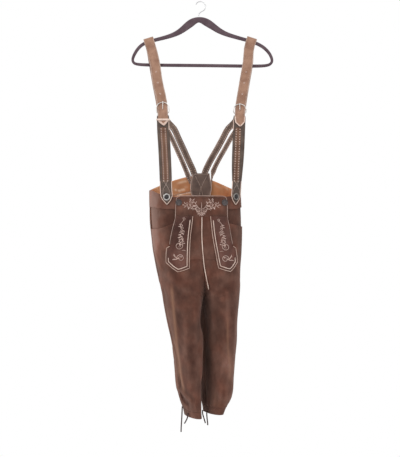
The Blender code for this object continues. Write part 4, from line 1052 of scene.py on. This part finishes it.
def satin(tree, line, widths, slant=0.35, step=0.00062, thick=0.00036):
    """Satin stitches laid side by side across a line; widths gives their length at even places along it."""
    line = curve_through(line)
    run = np.concatenate([[0], np.cumsum(np.linalg.norm(np.diff(line, axis=0), axis=1))])
    found = []
    for s in np.arange(step, run[-1], step):
        at = np.array([np.interp(s, run, line[:, k]) for k in (0, 1)])
        ahead = np.array([np.interp(min(s + 1e-4, run[-1]), run, line[:, k]) for k in (0, 1)])
        way = ahead - at
        if np.linalg.norm(way) < 1e-9:
            continue
        way /= np.linalg.norm(way)
        half = np.interp(s / run[-1], np.linspace(0, 1, len(widths)), widths) / 2
        over = np.array([-way[1], way[0]]) + way * slant
        a, up_a = touch(tree, *(at - over * half))
        b, up_b = touch(tree, *(at + over * half))
        if a is None or b is None or np.linalg.norm(a - b) > 4 * half + 0.002:
            continue
        normal = (up_a + up_b) / 2
        found.append(((a + b) / 2 + normal * 0.0002, (b - a) / 2, normal, thick))
    return found


def spiral(centre, radius, end_radius, start, turns, side):
    """Places along a curl, in millimetres, from its rim inwards."""
    steps = max(8, int(abs(turns) * 14))
    found = []
    for i in range(steps + 1):
        t = i / steps
        a = math.radians(start) + side * turns * 2 * math.pi * t
        r = radius + (end_radius - radius) * t**0.85
        found.append((centre[0] + r * math.cos(a), centre[1] + r * math.sin(a)))
    return found


def sprig(tree, shape, origin, mirror=1, lean=0.0):
    """The stitches of one motif. Its lines are in millimetres from an origin, with the widths along each."""
    found = []
    for line, widths in shape:
        placed = [(origin[0] + mirror * (u + lean * v) * 0.001, origin[1] + v * 0.001) for u, v in line]
        found += satin(tree, placed, [w * 0.001 for w in widths], slant=0.35 * mirror)
    return found


def leaf(u, v, degrees, length, width):
    """A leaf: one line from its stalk to its tip, widest before the middle."""
    a = math.radians(degrees)
    tip = (u + length * math.cos(a), v + length * math.sin(a))
    bow = (u + length * 0.5 * math.cos(a + 0.22), v + length * 0.5 * math.sin(a + 0.22))
    return [(u, v), bow, tip], [0.5, width, width * 0.9, 0.6]


# Half of the flap's motif; the other half mirrors it.
BRANCH = [
    ([(-1.5, 0), (-12, 6.5), (-24, 8.5), (-36, 7), (-45, 10), (-50, 12)], [1.3, 1.5, 1.4, 1.0]),
    ([(-9, 5), (-15, 13), (-22, 22), (-30, 29)], [1.2, 1.3, 0.8]),
    leaf(-14, 6.5, 215, 10, 3.2), leaf(-20, 8, 135, 9, 3.4), leaf(-26, 8, 228, 10, 3.4),
    leaf(-31, 8, 118, 10, 3.6), leaf(-37, 7.4, 236, 8, 3.2), leaf(-42, 9, 100, 9, 3.0),
    leaf(-47, 10.5, 215, 8, 2.8), leaf(-50, 12, 150, 7, 2.6),
    leaf(-14, 12, 178, 9, 3.0), leaf(-18, 17, 60, 8, 2.8), leaf(-22, 22, 172, 9, 3.0),
    leaf(-26, 26, 48, 8, 2.6), leaf(-30, 29, 130, 7, 2.6),
    leaf(-2, -3, 200, 15, 3.4), leaf(-2, -7, 218, 13, 3.4), leaf(-1.5, -11, 235, 10, 3.0),
    (spiral((-8, -1.2), 4.0, 1.6, 20, 1.1, 1), [0.9, 1.0, 0.9]),
    ([(-0.5, -20), (-8, -11), (-17.5, -1), (-30, 3.5), (-43, 6)], [1.0, 1.5, 1.5, 1.0]),
    (spiral((-31, 16), 5.0, 1.6, 0, 1.2, 1), [0.9, 1.1, 0.8]),
    (spiral((-43, 17), 4.4, 1.4, 200, 1.1, -1), [0.9, 1.1, 0.8]),
    leaf(-36, 20, 60, 9, 2.8), leaf(-48, 16, 120, 8, 2.6), leaf(-53, 13, 170, 6, 2.2),
    leaf(-33, 24, 100, 9, 2.6), leaf(-9, -8, 150, 7, 2.6), leaf(-13, -4, 100, 6, 2.4),
    leaf(-5, -13, 170, 7, 2.4), leaf(-24, 2, 230, 6, 2.2), leaf(-37, 5, 240, 6, 2.2),
]
STEM = [([(0, 22), (0.4, 8), (-0.3, -6), (0, -19)], [0.8, 1.7, 1.6, 0.7]), leaf(0, -6, 270, 14, 3.6)]
# A strip's vine, with u towards the middle of the flap.
VINE = [
    ([(3, -2), (6, -6), (2, -11), (-2, -17), (-4.5, -24), (-2.5, -31), (1.5, -38), (-1, -46), (-5, -54),
      (-2, -62), (1, -69), (2, -76)], [1.2, 1.5, 1.6, 1.6, 1.5]),
    (spiral((6, -4), 4.6, 1.5, 150, 1.25, -1), [1.3, 1.3, 0.8]),
    (spiral((1.0, -30), 4.6, 1.4, 190, 1.1, 1), [1.3, 1.3, 0.8]),
    leaf(-2, -17, 205, 8, 2.8), leaf(-3, -20, 320, 8, 2.8), leaf(-4, -25, 190, 7, 2.6),
    leaf(1, -38, 330, 8, 3.2), leaf(0, -40, 205, 9, 3.4), leaf(-1.5, -46, 325, 9, 3.6),
    leaf(-3, -49, 198, 9, 3.6), leaf(-5, -54, 318, 10, 3.8), leaf(-4.5, -57, 200, 8, 3.6),
    leaf(-3, -61, 312, 9, 3.6), leaf(-2, -64, 196, 9, 3.4), leaf(0, -68, 326, 8, 3.0),
    leaf(0.5, -71, 204, 8, 3.0), leaf(-4, -27, 340, 6, 2.6), leaf(0, -36, 200, 6, 2.6),
    leaf(-6, -55, 250, 8, 2.8), leaf(2, -60, 280, 8, 2.6), leaf(-6, -68, 230, 7, 2.6),
    (spiral((4, -45), 3.6, 1.2, 200, 1.1, 1), [0.9, 1.1, 0.7]),
    (spiral((-9, -84), 12.4, 3.6, 40, 1.45, -1), [1.9, 2.0, 1.8, 1.2]),
    leaf(-8, -84, 62, 14, 3.4), leaf(-8, -84, 28, 11, 3.0), leaf(3, -79, 18, 7, 2.6),
    ([(-1, -99), (5, -97.5), (11, -99)], [0.8, 1.6, 0.8]),
    (spiral((-4.0, -121), 12.0, 3.4, 205, 1.5, -1), [1.9, 2.0, 1.8, 1.2]),
    leaf(-5, -124, 150, 24, 3.4), leaf(-8, -119, 200, 20, 3.2), leaf(-20, -116, 118, 9, 2.8),
    leaf(-22, -123, 205, 8, 2.8), leaf(-4, -120, 40, 8, 2.6),
]
FLAP_ORIGIN = (0.003, -0.6445)
flap_motif = sprig(front_skin, BRANCH, FLAP_ORIGIN) + sprig(front_skin, BRANCH, FLAP_ORIGIN, -1)
flap_motif += sprig(front_skin, STEM, FLAP_ORIGIN)
sewn("embroidery_flap", flap_motif, silk)
sewn("embroidery_strip_left", sprig(front_skin, VINE, (-0.0560, -0.6700)), silk)
sewn("embroidery_strip_right", sprig(front_skin, VINE, (0.0610, -0.6735), -1, 0.085), silk)


# ---------------------------------------------------------------- buttons
# The flap is held by two dark horn buttons with a raised rim and a dished middle. The braces fasten on
# two pewter buttons, each with a bright ring and a small boss in a darkened hollow.
def finish_of(name, colour, deep, metallic, roughness):
    """Polished horn or metal: faint cloudy streaks, darker in places, with fine wear in its gloss."""
    made, tree, polish, at = start_material(name)
    streaks = noise_in(tree, 160.0, 5.0)
    streaks.inputs["Distortion"].default_value = 1.2
    tints = ramp_in(tree, (0.32, deep), (0.68, colour))
    wear = spread_in(tree, (roughness - 0.08, roughness + 0.14))
    lay_on_object(tree, at, streaks)
    tree.links.new(streaks.outputs["Fac"], tints.inputs[0])
    tree.links.new(streaks.outputs["Fac"], wear.inputs["Value"])
    tree.links.new(tints.outputs[0], polish.inputs["Base Color"])
    tree.links.new(wear.outputs["Result"], polish.inputs["Roughness"])
    polish.inputs["Metallic"].default_value = metallic
    return made


def button_for(node, name, steps, look):
    """A round button turned from a disc: each step is an inset and a rise, as shares of its radius."""
    corners = spots(nodes[node])
    middle = corners.mean(axis=0)
    across = np.linalg.svd(corners - middle, full_matrices=False)[2]
    facing = across[2] * (1 if across[2][1] < 0 else -1)
    radius = np.abs((corners - middle) @ across[0]).max()
    base = ((corners - middle) @ facing).min()
    bpy.ops.object.select_all(action="DESELECT")
    bpy.ops.mesh.primitive_circle_add(vertices=40, radius=radius, fill_type="NGON")
    made = bpy.context.object
    made.name = name
    bpy.ops.object.mode_set(mode="EDIT")
    bpy.ops.mesh.select_all(action="SELECT")
    for inset, rise in steps:
        if inset == 0:
            bpy.ops.mesh.extrude_region_move(TRANSFORM_OT_translate={"value": (0, 0, rise * radius)})
        else:
            bpy.ops.mesh.inset(thickness=inset * radius, depth=rise * radius)
    bpy.ops.object.mode_set(mode="OBJECT")
    face_outwards(made)
    edges = made.modifiers.new("edges", "BEVEL")
    edges.width = 0.035 * radius
    edges.segments = 2
    edges.limit_method = "ANGLE"
    bpy.ops.object.modifier_apply(modifier=edges.name)
    bpy.ops.object.shade_smooth_by_angle(angle=math.radians(35))
    made.rotation_euler = Vector(facing).to_track_quat("Z", "Y").to_euler()
    made.location = Vector(middle + facing * base)
    bpy.ops.object.transform_apply(location=True, rotation=True, scale=True)
    made.data.materials.append(look)
    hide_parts(node)
    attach(made, "root")
    return made, middle, facing, radius


horn = finish_of("dark horn", (0.110, 0.090, 0.088), (0.034, 0.029, 0.030), 0.0, 0.38)
horn.node_tree.nodes["Principled BSDF"].inputs["Specular IOR Level"].default_value = 0.3
pewter = finish_of("pewter", (0.78, 0.75, 0.73), (0.46, 0.44, 0.42), 1.0, 0.3)
grey_pewter = finish_of("grey pewter", (0.34, 0.32, 0.30), (0.18, 0.165, 0.155), 1.0, 0.42)
dark_hollow = finish_of("darkened pewter", (0.060, 0.054, 0.056), (0.025, 0.022, 0.023), 0.6, 0.5)
HORN_STEPS = [(0, 0.14), (0.10, 0.12), (0.10, 0.02), (0.12, -0.09), (0.22, -0.03), (0.10, 0.05), (0.14, 0.03)]
for side in ("left", "right"):
    button_for("flap_button_" + side, "button_flap_" + side, HORN_STEPS, horn)
PEWTER_STEPS = [(0, 0.10), (0.08, 0.14), (0.16, 0.02), (0.07, -0.14), (0.26, 0.0), (0.06, 0.12), (0.18, 0.06)]
HOLLOW = 0.64
for side, look in (("left", pewter), ("right", grey_pewter)):
    made, middle, facing, radius = button_for("brace_button_" + side, "button_brace_" + side, PEWTER_STEPS,
                                              look)
    made.data.materials.append(dark_hollow)
    for face in made.data.polygons:
        offset = np.array(face.center) - middle
        reach = np.linalg.norm(offset - facing * (offset @ facing))
        if reach < HOLLOW * radius:
            face.material_index = 1


# ---------------------------------------------------------------- braces, in front
# Tan straps with hand-worked eyelets come down over the hanger and through horseshoe buckles. Below them
# hang dark straps with pointed, button-holed ends, bound in cream and laced with two plaits of thong.
tan = leather("tan strap leather", (0.385, 0.218, 0.145), (0.275, 0.142, 0.092), 0.58, 520.0, 0.14)
olive = leather("dark strap leather", (0.120, 0.086, 0.068), (0.072, 0.049, 0.040), 0.66, 560.0, 0.18)
russet = leather("russet ground", (0.165, 0.076, 0.048), (0.095, 0.042, 0.028), 0.64, 500.0, 0.2)
silver = finish_of("pale silver", (0.86, 0.83, 0.80), (0.64, 0.61, 0.58), 1.0, 0.24)
tan_thread = thread_of("pale tan thread", (0.62, 0.44, 0.35), (0.44, 0.29, 0.22))
worn_edge = leather("worn strap edge", (0.58, 0.43, 0.36), (0.40, 0.28, 0.225), 0.66, 900.0, 0.1)


def level_of(made, up, reach=0.0035):
    """The middle and half the width of a strap at a height, from its own front run, before y = 0."""
    points = spots(made)
    front = points[(np.abs(points[:, 2] - up) < reach) & (points[:, 1] < 0.0)]
    return (front[:, 0].min() + front[:, 0].max()) / 2, (front[:, 0].max() - front[:, 0].min()) / 2


STRAPS = {}
# The heights of the eyelets in each tan strap, and their radius.
EYELETS = (-0.2195, -0.2538, -0.2885)
EYELET_RADIUS = 0.0015
eyelet_rings = []
for side in ("left", "right"):
    top_strap = piece_from("brace_top_" + side, "strap_top_" + side, 2)
    points = spots(top_strap)
    for up in EYELETS:
        run = points[(np.abs(points[:, 2] - up) < 0.004) & (points[:, 1] < -0.004)]
        x, y = (run[:, 0].min() + run[:, 0].max()) / 2, run[:, 1].mean()
        bpy.ops.object.select_all(action="DESELECT")
        bpy.ops.mesh.primitive_cylinder_add(vertices=20, radius=EYELET_RADIUS, depth=0.008,
                                            location=(x, y, up), rotation=(math.radians(90), 0, 0))
        punch = bpy.context.object
        hole = top_strap.modifiers.new("eyelet", "BOOLEAN")
        hole.object = punch
        hole.solver = "EXACT"
        bpy.context.view_layer.objects.active = top_strap
        bpy.ops.object.modifier_apply(modifier=hole.name)
        bpy.data.objects.remove(punch)
        eyelet_rings.append((x, up, side))
    top_strap.data.materials.clear()
    top_strap.data.materials.append(tan)
    pick(top_strap)
    bpy.ops.object.shade_smooth_by_angle(angle=math.radians(40))
    STRAPS["top_" + side] = top_strap
    low_strap = piece_from("brace_front_" + side, "strap_front_" + side, 2)
    low_strap.data.materials.append(olive)
    STRAPS["front_" + side] = low_strap
    buckle = piece_from("buckle_" + side, "buckle_" + side + "_frame", 1, 0)
    prong = piece_from("buckle_prong_" + side, "buckle_" + side + "_tongue", 1, 0)
    for made in (buckle, prong):
        made.data.materials.append(silver)
keeper = piece_from("keeper_left", "keeper_loop", 1)
keeper.data.materials.append(pale_cream)

eyelets, strap_rows, dark_rows, bindings, tip_cords, tan_edges = [], [], [], [], [], []
dashes, plait, crosses, grounds = [], [], [], []
# The plaited inlay on each strap: how far it sits to the right, where its dashes run, and half its width.
INLAYS = {"left": (0.0, 0.0062, 0.0098), "right": (-0.0028, 0.0056, 0.0082)}
DASH_PITCH = 0.0076
INLAY_TOP, INLAY_FOOT = -0.3960, -0.5560
# The ring of stitches round an eyelet: how many, and the radius of their middles.
EYELET_STITCHES = 18
RING_RADIUS = 0.0020
# The rows and pared edges of the tan strap: between which heights, and how far in from its edges.
TAN_ROW_FROM, TAN_ROW_TO = -0.1100, -0.3600
TAN_ROW_IN, TAN_PARED_IN = 0.0040, 0.0012
# The tan strap's tongue begins at a height, and has cords at shares of its own outline.
TONGUES = {"left": (-0.3685, (0.98, 0.72, 0.46)), "right": (-0.3560, (0.98, 0.86))}
# One half of the diamond round the buttonhole: heights, and how far out from the strap's middle.
BUTTONHOLE_UP = -0.6065
DIAMOND = [(-0.5560, -0.0072), (-0.5690, 0.0), (-0.5860, 0.0092), (-0.6010, 0.0104), (-0.6160, 0.0040)]
for side in ("left", "right"):
    skin = surface_of(STRAPS["top_" + side])
    for x, up, at_side in eyelet_rings:
        if at_side != side:
            continue
        for k in range(EYELET_STITCHES):
            turn = k * 2 * math.pi / EYELET_STITCHES
            point, normal = touch(skin, x + RING_RADIUS * math.cos(turn), up + RING_RADIUS * math.sin(turn))
            if point is not None:
                spoke = np.array((math.cos(turn), 0, math.sin(turn))) * 0.0008
                eyelets.append((point + normal * 0.0002, spoke, normal, 0.00042))
    # Rows and pared, paler edges along both sides of the tan strap, from the hanger's bar to its tongue.
    for edge in (-1, 1):
        stitched, pared = [], []
        for up in np.arange(TAN_ROW_FROM, TAN_ROW_TO, -0.004):
            middle, half = level_of(STRAPS["top_" + side], up)
            stitched.append((middle + edge * (half - TAN_ROW_IN), up))
            pared.append((middle + edge * (half - TAN_PARED_IN), up))
        strap_rows += row(skin, stitched, 0.0040, 0.0030)
        tan_edges.append(laid_line(skin, pared, 0.0030, lift=-0.0002)[0])
    tongue_up, shares = TONGUES[side]
    tip = np.array([p for p in outline_of(STRAPS["top_" + side], 0.0012) if p[1] < tongue_up])
    gaps = np.linalg.norm(np.diff(np.concatenate([tip[-1:], tip]), axis=0), axis=1)
    tip = np.roll(tip, -int(np.argmax(gaps)), axis=0)
    for share in shares:
        around = tip * share + tip.mean(axis=0) * (1 - share)
        tip_cords.append(laid_line(skin, around, 0.0016, lift=0.0002)[0])

    # The dark strap: a cream cord sewn round its point, up both edges, and again where it meets the buckle.
    low = STRAPS["front_" + side]
    skin = surface_of(low)
    edge = outline_of(low, 0.0016)
    inner = 1 if side == "left" else -1

    def below_buckle(p):
        """Whether a place is on the strap's inner edge, just below the buckle."""
        return -0.402 < p[1] < -0.366 and inner * (p[0] - level_of(low, p[1])[0]) > 0.004

    for wanted in (lambda p: p[1] < -0.557, below_buckle):
        for line in stretches(inside_of(edge, 0.0011), wanted):
            bindings.append(laid_line(skin, line, 0.0022, lift=0.0001)[0])
    for line in stretches(inside_of(edge, 0.0038), lambda p: p[1] < -0.395):
        dark_rows += row(skin, line, 0.0036, 0.0026)

    # The plait: slanted thongs in herringbone on a russet ground, between two columns of cream dashes.
    shift, dash_at, half_inlay = INLAYS[side]
    for up in np.arange(INLAY_TOP, INLAY_FOOT, -DASH_PITCH):
        middle = level_of(low, up)[0] + shift
        for way in (-1, 1):
            for drop in (0.0, DASH_PITCH / 2):
                point, normal = touch(skin, middle + way * 0.0024, up - drop)
                plait.append((point + normal * 0.0005, np.array((way * 0.0018, 0, 0.0017)), normal, 0.0009))
                point, normal = touch(skin, middle + way * (dash_at + 0.0027), up - drop - 0.0024)
                plait.append((point + normal * 0.0002, np.array((0, 0, 0.0015)), normal, 0.0006))
            point, normal = touch(skin, middle + way * dash_at, up - 0.0026)
            dashes.append((point + normal * 0.0007, np.array((way * 0.0008, 0, 0.0021)), normal, 0.0014))
    ground = []
    for up in np.arange(INLAY_TOP + 0.003, INLAY_FOOT - 0.004, -0.006):
        middle = level_of(low, up)[0] + shift
        ground.append([touch(skin, middle + share * half_inlay, up) for share in (-1, -0.5, 0, 0.5, 1)])
    grounds.append(ground)

    # Below the plaits two stitched lines cross and open into a diamond round the buttonhole.
    button_x = level_of(low, BUTTONHOLE_UP)[0]
    for sign in (-1, 1):
        line = []
        for up, out in DIAMOND:
            middle = level_of(low, up)[0] if up > -0.612 else button_x
            line.append((middle + sign * out, up))
        crosses += row(skin, curve_through(line, 0.002), 0.0030, 0.0026)

# The russet grounds in one mesh: each a thin slab, with a top, an underside and a rim.
COLUMNS = 5
russet_points, russet_faces = [], []
for ground in grounds:
    first = len(russet_points)
    for layer in (0.00005, 0.00045):
        for line in ground:
            for point, normal in line:
                russet_points.append(tuple(point + normal * layer))
    rows_n = len(ground)
    upper = first + rows_n * COLUMNS
    for i in range(rows_n - 1):
        for j in range(COLUMNS - 1):
            a = upper + i * COLUMNS + j
            russet_faces.append((a, a + COLUMNS, a + COLUMNS + 1, a + 1))
            b = first + i * COLUMNS + j
            russet_faces.append((b, b + 1, b + COLUMNS + 1, b + COLUMNS))
    rim = [i * COLUMNS for i in range(rows_n)] + [(rows_n - 1) * COLUMNS + j for j in range(1, COLUMNS)]
    rim += [i * COLUMNS + COLUMNS - 1 for i in reversed(range(rows_n - 1))]
    rim += list(reversed(range(1, COLUMNS - 1)))
    for a, b in zip(rim, rim[1:] + rim[:1]):
        russet_faces.append((first + a, first + b, upper + b, upper + a))
mesh = bpy.data.meshes.new("plait_ground")
mesh.from_pydata(russet_points, [], russet_faces)
inlay = bpy.data.objects.new("plait_ground", mesh)
scene.collection.objects.link(inlay)
face_outwards(inlay)
inlay.data.materials.append(russet)
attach(inlay, "root")
thong = leather("plaited thong", (0.40, 0.235, 0.150), (0.235, 0.120, 0.074), 0.58, 900.0, 0.1)
sewn("plaits", plait, thong)
sewn("plait_dashes", dashes, pale_cream)
sewn("strap_crosses", crosses, cream_thread, 0.0005)
sewn("eyelet_stitches", eyelets, cream_thread)
sewn("stitches_straps", strap_rows, tan_thread, 0.0005)
sewn("stitches_dark_straps", dark_rows, brown_thread, 0.0004)
cord_on("cord_strap_edges", bindings, 0.00105, pale_cream)
cord_on("cord_tongue_tips", tip_cords, 0.0011, pale_cream)
cord_on("cord_tan_edges", tan_edges, 0.0011, worn_edge)


# ---------------------------------------------------------------- braces, behind
# Each back strap is in two tails of dark leather, sewn with slanted cream stitches along both edges. At the
# top the two tails lap over the end of the tan strap. The inner tails meet under a shield inside the back
# of the waistband; the outer ones end in rounded tabs.
dark_brown = leather("back strap leather", (0.215, 0.145, 0.112), (0.125, 0.083, 0.066), 0.68, 560.0, 0.18)
slants, back_cords = [], []
# The tails: the start of each one's name, and how far in from its edge the slanted stitches run.
TAILS = (("brace_back_", 0.0036), ("brace_back_outer_", 0.0030))
# How far apart the slanted stitches are, and how wide a gap ends a row.
SLANT_PITCH, ROW_BREAK = 0.0066, 0.013
for side in ("left", "right"):
    for tail, edge_in in TAILS:
        made = piece_from(tail + side, tail.replace("brace", "strap") + side, 2)
        made.data.materials.append(dark_brown)
        skin = surface_of(made)
        edge = outline_of(made, 0.0012)
        for line in stretches(inside_of(edge, edge_in), lambda p: -0.553 < p[1] < -0.372):
            points, normals = laid_line(skin, line, SLANT_PITCH, lift=0.0003)
            for i in range(len(points) - 1):
                way = points[i + 1] - points[i]
                gap = np.linalg.norm(way)
                if gap > ROW_BREAK:
                    continue
                aside = np.cross(normals[i], way / gap)
                slants.append((points[i], (way / gap * 0.86 + aside * 0.5) * 0.0029, normals[i], 0.0010))
        if "outer" in tail or side == "right":
            for line in stretches(inside_of(edge, 0.0008), lambda p: -0.560 < p[1] < -0.385):
                back_cords.append(laid_line(skin, line, 0.0024, lift=0.0001)[0])
sewn("stitches_back_straps", slants, cream_thread)
cord_on("cord_back_straps", back_cords, 0.0007, cream)
shield_leather = leather("shield leather", (0.205, 0.140, 0.114), (0.130, 0.088, 0.073), 0.66, 560.0, 0.18)
shield = piece_from("yoke_shield", "shield_at_the_back", 2)
shield.data.materials.append(shield_leather)
skin = surface_of(shield)
edge = outline_of(shield, 0.0012)
shield_rows = []
for line in stretches(inside_of(edge, 0.0040), lambda p: p[1] > -0.640):
    shield_rows += row(skin, line, 0.0034, 0.0024)
# Two stitched lines cross near the shield's top and run down inside its edges.
middle = (spots(shield)[:, 0].min() + spots(shield)[:, 0].max()) / 2
SHIELD_CROSS = [(-0.0175, -0.5370), (0.0, -0.5741), (0.0062, -0.5993), (0.0095, -0.6150)]
for sign in (-1, 1):
    crossing = curve_through([(middle + sign * u, z) for u, z in SHIELD_CROSS], 0.002)
    shield_rows += row(skin, crossing, 0.0030, 0.0027)
sewn("stitches_shield", shield_rows, cream_thread, 0.0005)
bound = []
for line in stretches(inside_of(edge, 0.0008), lambda p: p[1] < -0.530):
    bound.append(laid_line(skin, line, 0.0022, lift=0.0001)[0])
cord_on("cord_shield", bound, 0.0009, pale_cream)


# ---------------------------------------------------------------- the hanger
# A thin moulded hanger with a bar, coated all over in mauve-grey flock so that straps don't slip, and a
# bright bent-wire hook set in its neck.
def flocked(name, colour, deep):
    """Flock: very short dense fibres, matt, with a soft pale sheen at glancing angles and faint rubs."""
    made, tree, pile, at = start_material(name)
    fibres = noise_in(tree, 1400.0)
    rubbed = noise_in(tree, 38.0, 4.0)
    tones = ramp_in(tree, (0.35, deep), (0.70, colour))
    bumps = bump_in(tree, 0.5, 0.0006)
    lay_on_object(tree, at, fibres, rubbed)
    tree.links.new(rubbed.outputs["Fac"], tones.inputs[0])
    tree.links.new(tones.outputs[0], pile.inputs["Base Color"])
    tree.links.new(fibres.outputs["Fac"], bumps.inputs["Height"])
    tree.links.new(bumps.outputs[0], pile.inputs["Normal"])
    pile.inputs["Roughness"].default_value = 1.0
    pile.inputs["Specular IOR Level"].default_value = 0.05
    pile.inputs["Sheen Weight"].default_value = 0.45
    pile.inputs["Sheen Roughness"].default_value = 0.4
    return made


hanger = piece_from("hanger", "hanger_flocked", 2, 0)
hanger.data.materials.append(flocked("mauve flock", (0.135, 0.094, 0.108), (0.098, 0.066, 0.078)))
hook = piece_from("hanger_hook", "hook_wire", 1, 0)
hook.data.materials.append(finish_of("bright wire", (0.80, 0.80, 0.81), (0.60, 0.60, 0.61), 1.0, 0.18))
low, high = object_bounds()
